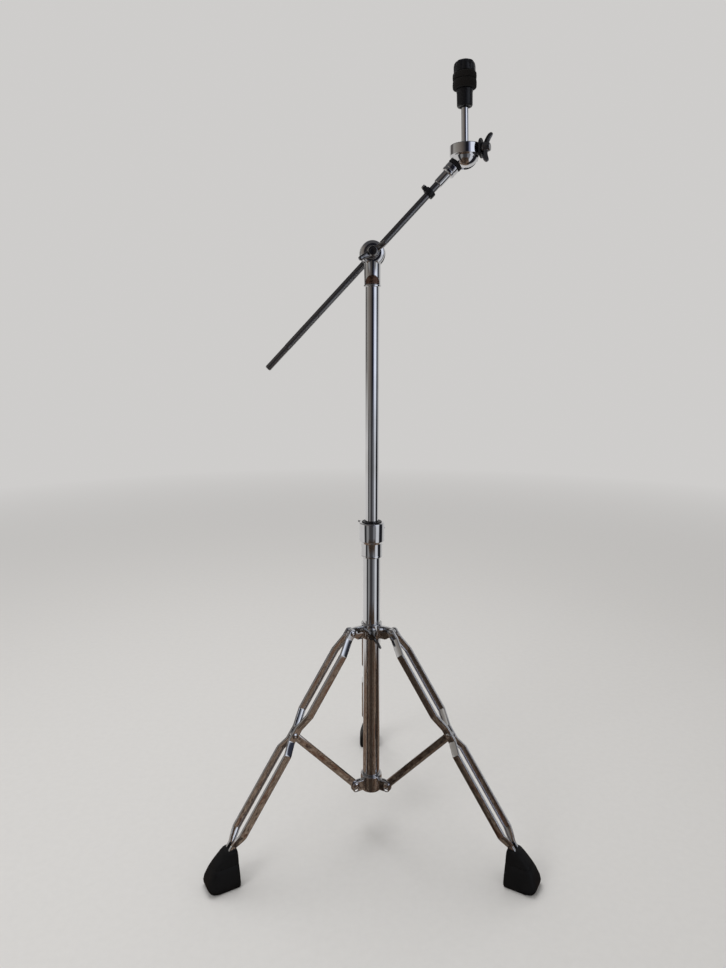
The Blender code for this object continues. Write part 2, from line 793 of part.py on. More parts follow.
def build_tilter(frame):
    """The rotating clamp, its eye bolt, spring, washer and wing nut. The frame's X runs along the boom."""
    rear = 24 * MM
    front = 3.2 * MM
    radius = 17.5 * MM
    head_radius = 7.2 * MM
    head_front = 8.6 * MM
    disc = turned(
        [
            (0, rear),
            (radius - 5 * MM, rear),
            (radius, rear - 7 * MM),
            (radius, front + 1 * MM),
            (radius - 1 * MM, front),
            (0, front),
        ],
        36,
    )
    clamp = part(disc, "tilter_clamp", "chrome", frame, rotation=ALONG_PLUS_Y)
    eye_pocket = helper(cylinder(head_radius + GAP, head_front - GAP, rear + 10 * MM))
    shank_hole = helper(cylinder(BOLT_HOLE_RADIUS, -10 * MM, rear))
    rod_bore = helper(
        cylinder(BOOM_RADIUS + GAP, -40 * MM, 40 * MM), (0, 0, BOOM_SETBACK), ALONG_X
    )
    combine(clamp, "DIFFERENCE", eye_pocket, shank_hole, rod_bore)

    shank_end = -26 * MM
    eye = turned(
        [
            (0, rear + 0.4 * MM),
            (head_radius - 0.6 * MM, rear + 0.4 * MM),
            (head_radius, rear - 0.4 * MM),
            (head_radius, head_front),
            (BOLT_RADIUS, head_front),
            (BOLT_RADIUS, shank_end + 0.8 * MM),
            (BOLT_RADIUS - 0.8 * MM, shank_end),
            (0, shank_end),
        ],
        20,
    )
    bolt = part(eye, "tilter_eye_bolt", "zinc_steel", frame, rotation=ALONG_PLUS_Y)
    eye_hole = helper(
        cylinder(BOOM_RADIUS + GAP, -20 * MM, 20 * MM), (0, 0, BOOM_SETBACK), ALONG_X
    )
    combine(bolt, "DIFFERENCE", eye_hole)


def build_tilter_spring(frame):
    """The coil that pushes the clamp off the head when the wing nut is slack."""
    coils = 3.5
    low = -4.9 * MM
    high = 1.6 * MM
    radius = 5.6 * MM
    count = int(coils * 12)
    points = []
    for step in range(count + 1):
        angle = 2 * math.pi * coils * step / count
        height = low + (high - low) * step / count
        points.append((radius * math.cos(angle), height, radius * math.sin(angle)))
    part(wire(points, 0.6 * MM, resolution=1), "tilter_spring", "zinc_steel", frame)


def build_tilter_nut(fixed_frame, boom_frame):
    face = 11 * MM + GAP
    thickness = 1.8 * MM
    washer = tube(9 * MM, BOLT_HOLE_RADIUS, face, face + thickness, 0.3 * MM, 24)
    part(washer, "tilter_washer", "zinc_steel", fixed_frame, rotation=ALONG_MINUS_Y)
    start = face + thickness + GAP
    height = 15 * MM
    hub = [
        (0, height),
        (4 * MM, height - 0.6 * MM),
        (7 * MM, height - 4 * MM),
        (8.4 * MM, 2 * MM),
        (8.4 * MM, 0),
        (0, 0),
    ]
    nut = part(
        turned(hub, 24),
        "tilter_wing_nut",
        "dark_chrome",
        boom_frame,
        (0, -start, 0),
        ALONG_MINUS_Y,
    )
    outline = wing_outline(43 * MM, 3 * MM, 18 * MM)
    wings = helper(upright_plate(outline, 6 * MM, rounded=True), rotation=(0, 0, math.radians(-15)))
    bore = helper(cylinder(BOLT_HOLE_RADIUS, -5 * MM, height - 2 * MM))
    combine(nut, "UNION", wings)
    combine(nut, "DIFFERENCE", bore)


# Boom rod and the ball tilter at its end


def build_boom(frame):
    """The rod, its stop ring and the socket at its upper end. The frame's X runs along the rod."""
    edge = 1 * MM
    rod = turned(
        [
            (0, BOOM_HEAD),
            (BOOM_RADIUS, BOOM_HEAD),
            (BOOM_RADIUS, BOOM_TAIL + edge),
            (BOOM_RADIUS - edge, BOOM_TAIL),
            (0, BOOM_TAIL),
        ],
        24,
    )
    part(rod, "boom_rod", "dark_chrome", frame, rotation=ALONG_X)
    build_stop_ring(frame)
    hex_start = 145 * MM
    hex_end = GASKET_START - GAP
    socket = turned(
        [
            (6.25 * MM - 0.8 * MM, hex_start - SOCKET_START + 1 * MM),
            (6.25 * MM, hex_start - SOCKET_START),
            (6.25 * MM, 1 * MM),
            (6.25 * MM - 1 * MM, 0),
            (BOOM_RADIUS + GAP, 0),
            (BOOM_RADIUS + GAP, hex_start - SOCKET_START + 1 * MM),
        ],
        24,
    )
    end_socket = part(
        socket, "boom_end_socket", "chrome", frame, (SOCKET_START, 0, 0), ALONG_X
    )
    collar = turned(
        [
            (0, hex_end - SOCKET_START),
            (8.5 * MM, hex_end - SOCKET_START),
            (9.3 * MM, hex_end - SOCKET_START - 1 * MM),
            (9.3 * MM, hex_start - SOCKET_START + 1 * MM),
            (8.3 * MM, hex_start - SOCKET_START),
            (0, hex_start - SOCKET_START),
        ],
        24,
    )
    rod_bore = cylinder(BOOM_RADIUS + GAP, -5 * MM, BOOM_HEAD + GAP - SOCKET_START, 24)
    stud_bore = cylinder(NECK_RADIUS + GAP, 151 * MM - SOCKET_START, 50 * MM, 20)
    combine(end_socket, "UNION", helper(collar))
    combine(end_socket, "DIFFERENCE", helper(rod_bore), helper(stud_bore))
    build_gasket(frame)


def build_gasket(frame):
    """The rubber ring between the socket and the bowl, with a hollow face that fits the bowl."""
    outer = 9.8 * MM
    inner = NECK_RADIUS + GAP
    centre = BALL_CENTRE - GASKET_START
    hollow = BOWL_RADIUS + GAP
    rim = math.degrees(math.acos(outer / hollow))
    hole = math.degrees(math.acos(inner / hollow))
    face = arc((0, centre), hollow, -rim, -hole, 4)
    profile = face[::-1] + [(outer, 0.6 * MM), (outer - 0.6 * MM, 0), (inner, 0)]
    part(turned(profile, 28), "boom_end_gasket", "black_rubber", frame, (GASKET_START, 0, 0), ALONG_X)


def build_stop_ring(frame):
    """The ring that marks how far the rod goes in, with its lock screw on the upper side."""
    half = 4 * MM
    ring = tube(7.75 * MM, BOOM_RADIUS + GAP, -half, half, 0.8 * MM, 24)
    stop = part(
        ring, "boom_stop_ring", "black_nylon", frame, (STOP_RING_CENTRE, 0, 0), ALONG_X
    )
    boss_end = 10.5 * MM
    boss = helper(cylinder(3.4 * MM, 6.2 * MM, boss_end, 14), rotation=(0, -QUARTER, 0))
    hole = helper(cylinder(1.8 * MM, 3 * MM, boss_end + 5 * MM, 10), rotation=(0, -QUARTER, 0))
    combine(stop, "UNION", boss)
    combine(stop, "DIFFERENCE", hole)
    screw = turned(
        [
            (0, boss_end + 2.5 * MM),
            (2.6 * MM, boss_end + 2.5 * MM),
            (3 * MM, boss_end + 2 * MM),
            (3 * MM, boss_end + GAP),
            (1.5 * MM, boss_end + GAP),
            (1.5 * MM, BOOM_RADIUS + GAP),
            (0, BOOM_RADIUS + GAP),
        ],
        12,
    )
    part(screw, "stop_ring_screw", "zinc_steel", frame, (STOP_RING_CENTRE, 0, 0))


def build_ball(frame):
    """The ball and its neck, one piece, along the boom."""
    neck_start = 151.3 * MM - BALL_CENTRE
    contact = math.sqrt(BALL_RADIUS**2 - NECK_RADIUS**2)
    start = math.degrees(math.atan2(-contact, NECK_RADIUS))
    ball = arc((0, 0), BALL_RADIUS, 90, start, 10)
    ball[0] = (0, BALL_RADIUS)
    profile = ball + [(NECK_RADIUS, neck_start), (0, neck_start)]
    part(turned(profile, 24), "tilter_ball", "chrome", frame, (BALL_CENTRE, 0, 0), ALONG_X)


def build_cup(frame):
    """The housing of the ball: a slotted bowl below, and the cymbal rod's seat on top."""
    cavity = BALL_RADIUS + GAP
    edge = 1 * MM
    opening = 5.5 * MM
    wall_end = 1.6 * MM
    bowl_start = -math.degrees(math.asin(4 * MM / BOWL_RADIUS))
    bowl_end = -math.degrees(math.acos(opening / BOWL_RADIUS))
    outer = [
        (CUP_RADIUS - edge, CUP_TOP),
        (CUP_RADIUS, CUP_TOP - edge),
        (CUP_RADIUS, -wall_end),
        (CUP_RADIUS - 0.5 * MM, -wall_end - 1 * MM),
        *arc((0, 0), BOWL_RADIUS, bowl_start, bowl_end, 6),
    ]
    inner = [
        (opening, -math.sqrt(cavity**2 - opening**2)),
        *arc((0, 0), cavity, -45, 0, 4),
        (cavity, 9.6 * MM),
        (ROD_RADIUS + GAP, 9.6 * MM),
        (ROD_RADIUS + GAP, CUP_TOP),
    ]
    cup = part(turned(outer + inner, 36), "cymbal_cup", "chrome", frame)
    swing = math.radians(90) - BOOM_ANGLE + ROD_LEAN + math.radians(1)
    reach = 34 * MM
    half = NECK_RADIUS + GAP
    top = (half * math.cos(swing), half * math.sin(swing))
    low = (top[0] + reach * math.sin(swing), top[1] - reach * math.cos(swing))
    fan = [(-top[0], top[1]), (-low[0], low[1]), low, top]
    slot = helper(upright_plate(fan, 2 * half + 0.4 * MM))
    bolt_level = 4.4 * MM
    hole = helper(
        cylinder(BOLT_HOLE_RADIUS, BALL_RADIUS - 3 * MM, 30 * MM),
        (0, 0, bolt_level),
        (0, QUARTER, CYMBAL_BOLT_AZIMUTH),
    )
    combine(cup, "DIFFERENCE", slot, hole)
    seat = turned(
        [
            (5.5 * MM, 9.3 * MM),
            (8.9 * MM, 9.3 * MM),
            (8.9 * MM, 4.6 * MM),
            (7.5 * MM, 6.1 * MM),
            (5.5 * MM, 7.9 * MM),
        ],
        24,
    )
    part(seat, "ball_seat", "black_nylon", frame)
    build_cymbal_wing(frame, bolt_level)


def build_cymbal_wing(frame, level):
    """The washer and the wing bolt that press on the ball's seat from the side of the cup."""
    aim = (0, QUARTER, CYMBAL_BOLT_AZIMUTH)
    washer = tube(12.5 * MM, BOLT_HOLE_RADIUS, 20.8 * MM, 23.2 * MM, 0.8 * MM, 28)
    part(washer, "cymbal_wing_washer", "black_nylon", frame, (0, 0, level), aim)
    start = 23.2 * MM + GAP
    across = start * math.cos(CYMBAL_BOLT_AZIMUTH)
    forward = start * math.sin(CYMBAL_BOLT_AZIMUTH)
    wing_bolt(
        "cymbal_wing_bolt",
        frame,
        (across, forward, level),
        aim,
        start - BALL_RADIUS - 2 * GAP,
        span=49 * MM,
        turn=math.radians(-30),
        sweep=11 * MM,
    )


def build_cymbal_seat(frame):
    """The threaded rod, the nylon sleeve, the two felts and the cap nut."""
    thread = BOLT_RADIUS
    shoulder = SLEEVE_BOTTOM + 12 * MM
    rod_top = NUT_TOP - 5 * MM
    rod = turned(
        [
            (0, rod_top),
            (thread - 0.8 * MM, rod_top),
            (thread, rod_top - 0.8 * MM),
            (thread, shoulder),
            (ROD_RADIUS, shoulder - 0.9 * MM),
            (ROD_RADIUS, 9.9 * MM),
            (0, 9.9 * MM),
        ],
        20,
    )
    part(rod, "cymbal_rod", "chrome", frame)
    tube_outer = 5.4 * MM
    sleeve = turned(
        [
            (tube_outer, FELT_TOP - 1 * MM),
            (tube_outer, FELT_BOTTOM - GAP),
            (10.95 * MM - 0.8 * MM, FELT_BOTTOM - GAP),
            (10.95 * MM, FELT_BOTTOM - 1.2 * MM),
            (10.5 * MM, SLEEVE_BOTTOM + 1 * MM),
            (9.5 * MM, SLEEVE_BOTTOM),
            (ROD_RADIUS + GAP, SLEEVE_BOTTOM),
            (ROD_RADIUS + GAP, shoulder - 0.4 * MM),
            (thread + GAP, shoulder + 0.5 * MM),
            (thread + GAP, FELT_TOP - 1 * MM),
        ],
        28,
    )
    part(sleeve, "cymbal_sleeve", "black_nylon", frame)
    build_felt("lower_felt", frame, FELT_BOTTOM, FELT_MIDDLE - GAP)
    build_felt("upper_felt", frame, FELT_MIDDLE, FELT_TOP - GAP)
    build_cap_nut(frame)


def build_felt(name, frame, bottom, top):
    radius = 15.6 * MM
    hole = 5.8 * MM
    corner = 2 * MM
    profile = arc((radius - corner, top - corner), corner, 90, 0, 3)
    profile += arc((radius - corner, bottom + corner), corner, 0, -90, 3)
    profile += [(hole, bottom), (hole, top)]
    part(turned(profile, 28), name, "black_felt", frame)


def build_cap_nut(frame):
    """The domed nut on top, with shallow scallops round it for the fingers."""
    radius = 14.4 * MM
    bore = BOLT_RADIUS + GAP
    profile = [
        (0, NUT_TOP),
        (8 * MM, NUT_TOP - 0.3 * MM),
        (11.7 * MM, NUT_TOP - 1.6 * MM),
        (13.6 * MM, NUT_TOP - 4 * MM),
        (radius, NUT_TOP - 7.5 * MM),
        (radius, FELT_TOP + 1 * MM),
        (radius - 1 * MM, FELT_TOP),
        (bore, FELT_TOP),
        (bore, NUT_TOP - 4 * MM),
        (0, NUT_TOP - 4 * MM),
    ]
    nut = part(turned(profile, 32), "cap_nut", "black_nylon", frame)
    scallops = 8
    for index in range(scallops):
        angle = 2 * math.pi * (index + 0.5) / scallops
        reach = radius + 3.2 * MM
        scallop = cylinder(4.6 * MM, FELT_TOP - 5 * MM, NUT_TOP + 5 * MM, 16)
        spot = (reach * math.cos(angle), reach * math.sin(angle), 0)
        combine(nut, "DIFFERENCE", helper(scallop, spot))


# The stand


def build_stand():
    head_frame = make_empty("tilter_axis", TUBE_AXIS, (0, 0, TILTER_HEIGHT))
    build_tubes()
    build_height_clamp()
    build_leg_collar()
    build_bottom_collar()
    for number, azimuth in enumerate(LEG_AZIMUTHS, start=1):
        build_leg(number, azimuth)
    build_receiver(head_frame)
    build_tilter_spring(head_frame)
    boom_tilt = make_empty("boom_tilt_axis", head_frame, rotation=(0, -BOOM_ANGLE, 0))
    build_tilter(boom_tilt)
    build_tilter_nut(head_frame, boom_tilt)
    boom_line = make_empty("boom_line", boom_tilt, (0, BOOM_SETBACK, 0))
    build_boom(boom_line)
    build_ball(boom_line)
    ball_centre = make_empty(
        "ball_centre", boom_line, (BALL_CENTRE, 0, 0), (0, BOOM_ANGLE - ROD_LEAN, 0)
    )
    build_cup(ball_centre)
    build_cymbal_seat(ball_centre)


clear_scene()
PARTS = make_collection("cymbal_boom_stand")
CUTTERS = make_collection("cutters")
MATERIALS = {name: make_material(name) for name in PALETTE}
TUBE_AXIS = make_empty("tube_axis", None, (0, TUBE_SETBACK, 0))
build_stand()
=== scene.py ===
"""Looks of the cymbal boom stand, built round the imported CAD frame. Lengths are written in millimetres."""

import json
import math
import random

import bmesh
import bpy
from mathutils import Matrix, Vector, noise


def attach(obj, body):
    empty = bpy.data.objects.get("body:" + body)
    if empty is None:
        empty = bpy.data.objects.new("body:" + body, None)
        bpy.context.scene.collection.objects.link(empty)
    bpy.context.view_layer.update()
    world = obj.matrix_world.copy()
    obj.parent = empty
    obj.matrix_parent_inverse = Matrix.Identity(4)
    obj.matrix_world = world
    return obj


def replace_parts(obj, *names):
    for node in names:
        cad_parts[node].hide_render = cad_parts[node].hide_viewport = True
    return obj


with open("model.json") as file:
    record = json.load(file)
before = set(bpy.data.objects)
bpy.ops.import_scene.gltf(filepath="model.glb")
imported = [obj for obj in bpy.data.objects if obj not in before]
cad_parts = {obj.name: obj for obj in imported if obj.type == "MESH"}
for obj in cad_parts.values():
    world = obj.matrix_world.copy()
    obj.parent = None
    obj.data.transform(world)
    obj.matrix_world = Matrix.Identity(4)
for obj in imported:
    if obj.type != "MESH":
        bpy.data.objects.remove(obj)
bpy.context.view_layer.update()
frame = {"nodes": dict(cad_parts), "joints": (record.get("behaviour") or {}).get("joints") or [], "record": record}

MM = 0.001
GAP = 0.3
JOINTS = {joint["name"]: joint for joint in frame["joints"]}
BODY_OF = {
    node: body
    for body, nodes in frame["record"]["behaviour"]["bodies"].items()
    for node in nodes
}
SLOT_OF = {entry["node"]: entry["material_slot"] for entry in frame["record"]["subparts"]}
FINE = 96
WELD = 1e-4

TILTER = JOINTS["boom_tilt"]["pos_m"][2] / MM
BOOM_AXIS = Vector(JOINTS["boom_extend"]["axis"])
BOOM_ANGLE = math.atan2(BOOM_AXIS.z, BOOM_AXIS.x)
TUBE_Y = JOINTS["tube_swivel"]["pos_m"][1] / MM
BOOM_SETBACK = JOINTS["boom_roll"]["pos_m"][1] / MM - TUBE_Y
ROD_AXIS = Vector(JOINTS["felt_lift"]["axis"])
ROD_LEAN = math.atan2(-ROD_AXIS.x, ROD_AXIS.z)
BALL = Vector(JOINTS["cymbal_tilt"]["pos_m"]) / MM - Vector((0, TUBE_Y, 0))
LEG_AZIMUTHS = {1: 90, 2: 210, 3: 330}
LEG_PIVOT = Vector((35.8, 336.0))
MID_PIVOT = Vector((130.5, 199.0))
BRACE_PIVOT = Vector((28.5, 84.0))
BRACE_DROP = 7.7
LEG_LENGTH = 358.5
BAR_HALF = 5.8
BAR_TIP = 4.0
BAR_SPREAD = 15.0
LEG_COLLAR = (322.0, 345.0)
LEG_COLLAR_R = 15.6
LEG_BOLT = 334.0
CUP_R, CUP_TOP, BOWL_R = 20.5, 11.2, 19.0
CYMBAL_BOLT_TURN = -25
NECK = 4.2
ROD_R = 4.8
SLEEVE_LOW, FELT_LOW, FELT_MIDDLE, FELT_HIGH, NUT_HIGH = 58.4, 80.6, 91.0, 99.6, 114.6
MID = (MID_PIVOT - LEG_PIVOT).length
LEG_DIRECTION = (MID_PIVOT - LEG_PIVOT).normalized()
BASE_R, UPPER_R, BOOM_R, THREAD_R = 12.7, 9.55, 4.7, 3.9
TUBE_WALL = 1.5
BASE_LOW, BASE_HIGH = 71, 478
UPPER_LOW, UPPER_HIGH = 380, 852
CLAMP_LOW, CLAMP_HIGH = 447, 499
CLAMP_BOLT, CLAMP_BOSS = 486, 22.4
RECEIVER_LOW = 829
BOLT_HOLE, RIVET_HOLE = 4.3, 2.8
BAR_DEPTH, BAR_SHEET = 4.0, 1.6
LUG_HALF, BRACE_HALF, FORK_WALL = 3, 1.5, 2.6
# Along the boom, from the tilter's axis
ROD_TAIL, ROD_HEAD = -214.0, 149.0
STOP_RING, SOCKET, NECK_START, GASKET, BALL_ALONG = 111.5, 126.9, 151.3, 158.5, 179.5
BALL_R = 9.0
# Wing bolts: hub radius, hub height and span
BOLT_HUB, BOLT_HEIGHT, BOLT_SPAN = 7, 11, 42


# Mesh building


def fillet(points, radius=1.0, steps=4, closed=False):
    """The line of points with its corners rounded. A point may carry a radius of its own as a third value."""
    out = []
    count = len(points)
    for index, point in enumerate(points):
        here = Vector(point[:2])
        size = point[2] if len(point) > 2 else radius
        if (not closed and index in (0, count - 1)) or size <= 0:
            out.append(tuple(here))
            continue
        before = Vector(points[index - 1][:2]) - here
        after = Vector(points[(index + 1) % count][:2]) - here
        if before.length < 1e-6 or after.length < 1e-6:
            continue
        bend = before.angle(after)
        if bend > math.radians(176):
            out.append(tuple(here))
            continue
        cut = min(size / math.tan(bend / 2), 0.46 * before.length, 0.46 * after.length)
        start = here + before.normalized() * cut
        end = here + after.normalized() * cut
        for step in range(steps + 1):
            t = step / steps
            out.append(tuple(start * (1 - t) ** 2 + here * 2 * t * (1 - t) + end * t * t))
    return out


def turns(count):
    """The angles of points spaced evenly round a full turn."""
    return [2 * math.pi * index / count for index in range(count)]


def arc(centre, radius, start, end, steps):
    """Points of an arc, from one angle to another in degrees."""
    points = []
    for step in range(steps + 1):
        angle = math.radians(start + (end - start) * step / steps)
        points.append((centre[0] + radius * math.cos(angle), centre[1] + radius * math.sin(angle)))
    return points


def finish_mesh(shape):
    """Makes a mesh in metres from a bmesh in millimetres, with faces turned outwards."""
    bmesh.ops.remove_doubles(shape, verts=shape.verts, dist=WELD)
    bmesh.ops.recalc_face_normals(shape, faces=shape.faces)
    bmesh.ops.scale(shape, vec=(MM, MM, MM), verts=shape.verts)
    mesh = bpy.data.meshes.new("mesh")
    shape.to_mesh(mesh)
    shape.free()
    return mesh


def rings_mesh(rings, cap_ends=True, join_ends=False):
    """A skin over rings that hold the same number of points. A ring of one point is a pole."""
    shape = bmesh.new()
    made = [[shape.verts.new(point) for point in ring] for ring in rings]
    pairs = list(zip(made, made[1:]))
    if join_ends:
        pairs.append((made[-1], made[0]))
    for first, second in pairs:
        count = max(len(first), len(second))
        for index in range(count):
            after = (index + 1) % count
            if len(first) == 1:
                shape.faces.new((first[0], second[index], second[after]))
            elif len(second) == 1:
                shape.faces.new((first[index], first[after], second[0]))
            else:
                shape.faces.new((first[index], first[after], second[after], second[index]))
    if cap_ends and not join_ends:
        for ring in (made[0], made[-1]):
            if len(ring) > 2:
                shape.faces.new(ring)
    return finish_mesh(shape)


def lathe(profile, radius=0.6, steps=FINE, shape_at=None, smooth=3):
    """Turns (radius, height) points round Z. shape_at(radius, height, angle) may change the radius."""
    closed = profile[0][0] > 0 or profile[-1][0] > 0
    line = fillet(profile, radius, smooth, closed)
    rings = []
    for r, z in line:
        if r < 1e-6:
            rings.append([(0, 0, z)])
            continue
        ring = []
        for angle in turns(steps):
            reach = shape_at(r, z, angle) if shape_at else r
            ring.append((reach * math.cos(angle), reach * math.sin(angle), z))
        rings.append(ring)
    return rings_mesh(rings, cap_ends=False, join_ends=closed)


def offset_inwards(outline, distance):
    """The closed outline, in either direction of travel, moved inwards by a distance."""
    count = len(outline)
    area = sum(
        outline[i][0] * outline[(i + 1) % count][1] - outline[(i + 1) % count][0] * outline[i][1]
        for i in range(count)
    )
    turn = 1 if area > 0 else -1
    out = []
    for index in range(count):
        here = Vector(outline[index])
        before = (here - Vector(outline[index - 1])).normalized()
        after = (Vector(outline[(index + 1) % count]) - here).normalized()
        normal = Vector((-(before.y + after.y), before.x + after.x)) * turn
        if normal.length < 1e-9:
            normal = Vector((-before.y, before.x)) * turn
        normal.normalize()
        side = Vector((-before.y, before.x)) * turn
        out.append(tuple(here + normal * distance / max(0.5, normal.dot(side))))
    return out


def prism(outline, low, high, edge=0.4):
    """A plate over an outline in XY, from low to high, with rounded rims."""
    rings = []
    levels = [(edge, 0), (edge * 0.3, edge * 0.3), (0, edge)]
    for inset, rise in levels:
        rings.append([(x, y, low + rise) for x, y in offset_inwards(outline, inset)])
    for inset, rise in reversed(levels):
        rings.append([(x, y, high - rise) for x, y in offset_inwards(outline, inset)])
    return rings_mesh(rings)


def loft(stations, sides, power):
    """A tube with a superellipse section: (centre, across, half width, up, half height) for each station."""
    rings = []
    for centre, across, half_width, up, half_height in stations:
        centre, across, up = Vector(centre), Vector(across), Vector(up)
        ring = []
        for angle in turns(sides):
            c, s = math.cos(angle), math.sin(angle)
            x = math.copysign(abs(c) ** (2 / power), c) * half_width
            y = math.copysign(abs(s) ** (2 / power), s) * half_height
            ring.append(tuple(centre + across * x + up * y))
        rings.append(ring)
    return rings_mesh(rings)


def moved(mesh, *matrices):
    """The mesh moved by matrices whose translations are in millimetres. The last one is applied first."""
    whole = Matrix.Identity(4)
    for matrix in matrices:
        whole = whole @ matrix
    whole = whole.copy()
    whole.translation *= MM
    mesh.transform(whole)
    if whole.determinant() < 0:
        mesh.flip_normals()
    return mesh


def shift(x=0, y=0, z=0):
    return Matrix.Translation((x, y, z))


def spin(axis, degrees):
    return Matrix.Rotation(math.radians(degrees), 4, axis)


def as_object(mesh):
    obj = bpy.data.objects.new("shape", mesh)
    bpy.context.scene.collection.objects.link(obj)
    return obj


def evaluated(obj):
    graph = bpy.context.evaluated_depsgraph_get()
    return bpy.data.meshes.new_from_object(obj.evaluated_get(graph))


def combined(mesh, *steps):
    """The mesh after Booleans: each step is an operation and the mesh that it uses."""
    obj = as_object(mesh)
    others = []
    for operation, other in steps:
        other = as_object(other)
        others.append(other)
        modifier = obj.modifiers.new("combine", "BOOLEAN")
        modifier.operation = operation
        modifier.solver = "EXACT"
        modifier.object = other
    bpy.context.view_layer.update()
    result = evaluated(obj)
    for old in [obj] + others:
        bpy.data.objects.remove(old, do_unlink=True)
    return result


def cut(mesh):
    return "DIFFERENCE", mesh


def join(mesh):
    return "UNION", mesh


def rod(radius, low, high, steps=48):
    return lathe([(0, high), (radius, high), (radius, low), (0, low)], 0, steps)


def block(size, centre):
    shape = bmesh.new()
    bmesh.ops.create_cube(shape, size=1)
    bmesh.ops.scale(shape, vec=size, verts=shape.verts)
    bmesh.ops.translate(shape, vec=centre, verts=shape.verts)
    return finish_mesh(shape)


ALONG_X = spin("Y", 90)
TO_FRONT = spin("X", 90)
TO_BACK = spin("X", -90)
UPRIGHT = spin("X", 90)


def boom_head():
    """The tilter's axis, turned with the boom."""
    return shift(0, 0, TILTER) @ spin("Y", -math.degrees(BOOM_ANGLE))


def boom_line():
    return boom_head() @ shift(0, BOOM_SETBACK, 0)


def rod_line():
    return Matrix.Translation(BALL) @ spin("Y", -math.degrees(ROD_LEAN))


def leg_plane(number):
    return spin("Z", LEG_AZIMUTHS[number])


def leg_line(number):
    tilt = math.degrees(math.atan2(-LEG_DIRECTION.y, LEG_DIRECTION.x))
    return leg_plane(number) @ shift(MID_PIVOT.x, 0, MID_PIVOT.y) @ spin("Y", tilt)


def brace_line(number):
    heading = MID_PIVOT - BRACE_PIVOT
    tilt = -math.degrees(math.atan2(heading.y, heading.x))
    return leg_plane(number) @ shift(BRACE_PIVOT.x, 0, BRACE_PIVOT.y) @ spin("Y", tilt)


# Materials


def add_node(tree, kind, values=None, **settings):
    """Adds a node, with values or links for its inputs."""
    node = tree.nodes.new(kind)
    for key, value in settings.items():
        setattr(node, key, value)
    set_inputs(tree, node, values or {})
    return node


def set_inputs(tree, node, values):
    for key, value in values.items():
        if isinstance(value, bpy.types.NodeSocket):
            tree.links.new(value, node.inputs[key])
        else:
            node.inputs[key].default_value = value


class Shader:
    """A material whose nodes are added one call at a time."""

    def __init__(self, name):
        self.material = bpy.data.materials.new(name)
        self.material.use_nodes = True
        self.tree = self.material.node_tree
        self.out = self.tree.nodes["Principled BSDF"]

    def add(self, kind, values=None, **settings):
        return add_node(self.tree, kind, values, **settings)

    def set(self, **values):
        set_inputs(self.tree, self.out, {key.replace("_", " "): value for key, value in values.items()})

    def place(self, scale):
        coords = self.add("ShaderNodeTexCoord").outputs["Object"]
        return self.add("ShaderNodeMapping", {"Vector": coords, "Scale": scale}).outputs[0]

    def noise(self, scale, detail=4.0, rough=0.6, stretch=(1, 1, 1)):
        values = {"Vector": self.place(stretch), "Scale": scale, "Detail": detail, "Roughness": rough}
        return self.add("ShaderNodeTexNoise", values).outputs[0]

    def cells(self, scale):
        return self.add("ShaderNodeTexVoronoi", {"Vector": self.place((1, 1, 1)), "Scale": scale}).outputs[0]

    def span(self, value, low, high, to_low=0.0, to_high=1.0):
        values = {0: value, 1: low, 2: high, 3: to_low, 4: to_high}
        return self.add("ShaderNodeMapRange", values).outputs[0]

    def math(self, operation, first, second=0.0):
        return self.add("ShaderNodeMath", {0: first, 1: second}, operation=operation).outputs[0]

    def blend(self, amount, first, second):
        values = {0: amount, 6: first, 7: second}
        return self.add("ShaderNodeMix", values, data_type="RGBA").outputs[2]

    def times(self, first, second):
        return self.math("MULTIPLY", first, second)

    def plus(self, first, second):
        return self.math("ADD", first, second)

    def bump(self, height, strength, distance, normal=None):
        values = {"Height": height, "Strength": strength, "Distance": distance}
        if normal is not None:
            values["Normal"] = normal
        return self.add("ShaderNodeBump", values).outputs[0]

    def soft_edges(self, radius):
        return self.add("ShaderNodeBevel", {"Radius": radius}, samples=4).outputs[0]

    def edge_mask(self, rounded, low=0.9, high=0.995):
        """1 on the edges, where the rounded normal turns away from the true one."""
        true = self.add("ShaderNodeNewGeometry").outputs["Normal"]
        dot = self.add("ShaderNodeVectorMath", {0: rounded, 1: true}, operation="DOT_PRODUCT")
        return self.span(dot.outputs["Value"], low, high, 1.0, 0.0)


def metal(name, light, dark, rough, grain, edge_radius, worn, patches=22):
    """Plated metal: smudged sheen, hairline polish marks, small pits and worn edges."""
    s = Shader(name)
    smudge = s.span(s.noise(patches, 6, 0.65), 0.42, 0.72)
    hairs = s.noise(55, 3, 0.7, (9, 9, 0.6))
    pits = s.span(s.noise(1400, 2, 0.5), 0.62, 0.78)
    rounded = s.soft_edges(edge_radius)
    edge = s.edge_mask(rounded)
    colour = s.blend(smudge, light, dark)
    wear = s.times(edge, s.span(s.noise(260, 3), 0.4, 0.65))
    colour = s.blend(wear, colour, worn)
    level = s.span(smudge, 0, 1, rough, rough * 2.1)
    level = s.plus(level, s.span(hairs, 0.35, 0.75, 0, rough * 0.9))
    level = s.plus(level, s.times(pits, 0.12))
    level = s.plus(level, s.times(wear, 0.12))
    normal = s.bump(hairs, grain, 0.00002, rounded)
    normal = s.bump(pits, grain * 1.5, 0.00003, normal)
    s.set(Base_Color=colour, Roughness=level, Metallic=1.0, Normal=normal)
    return s.material


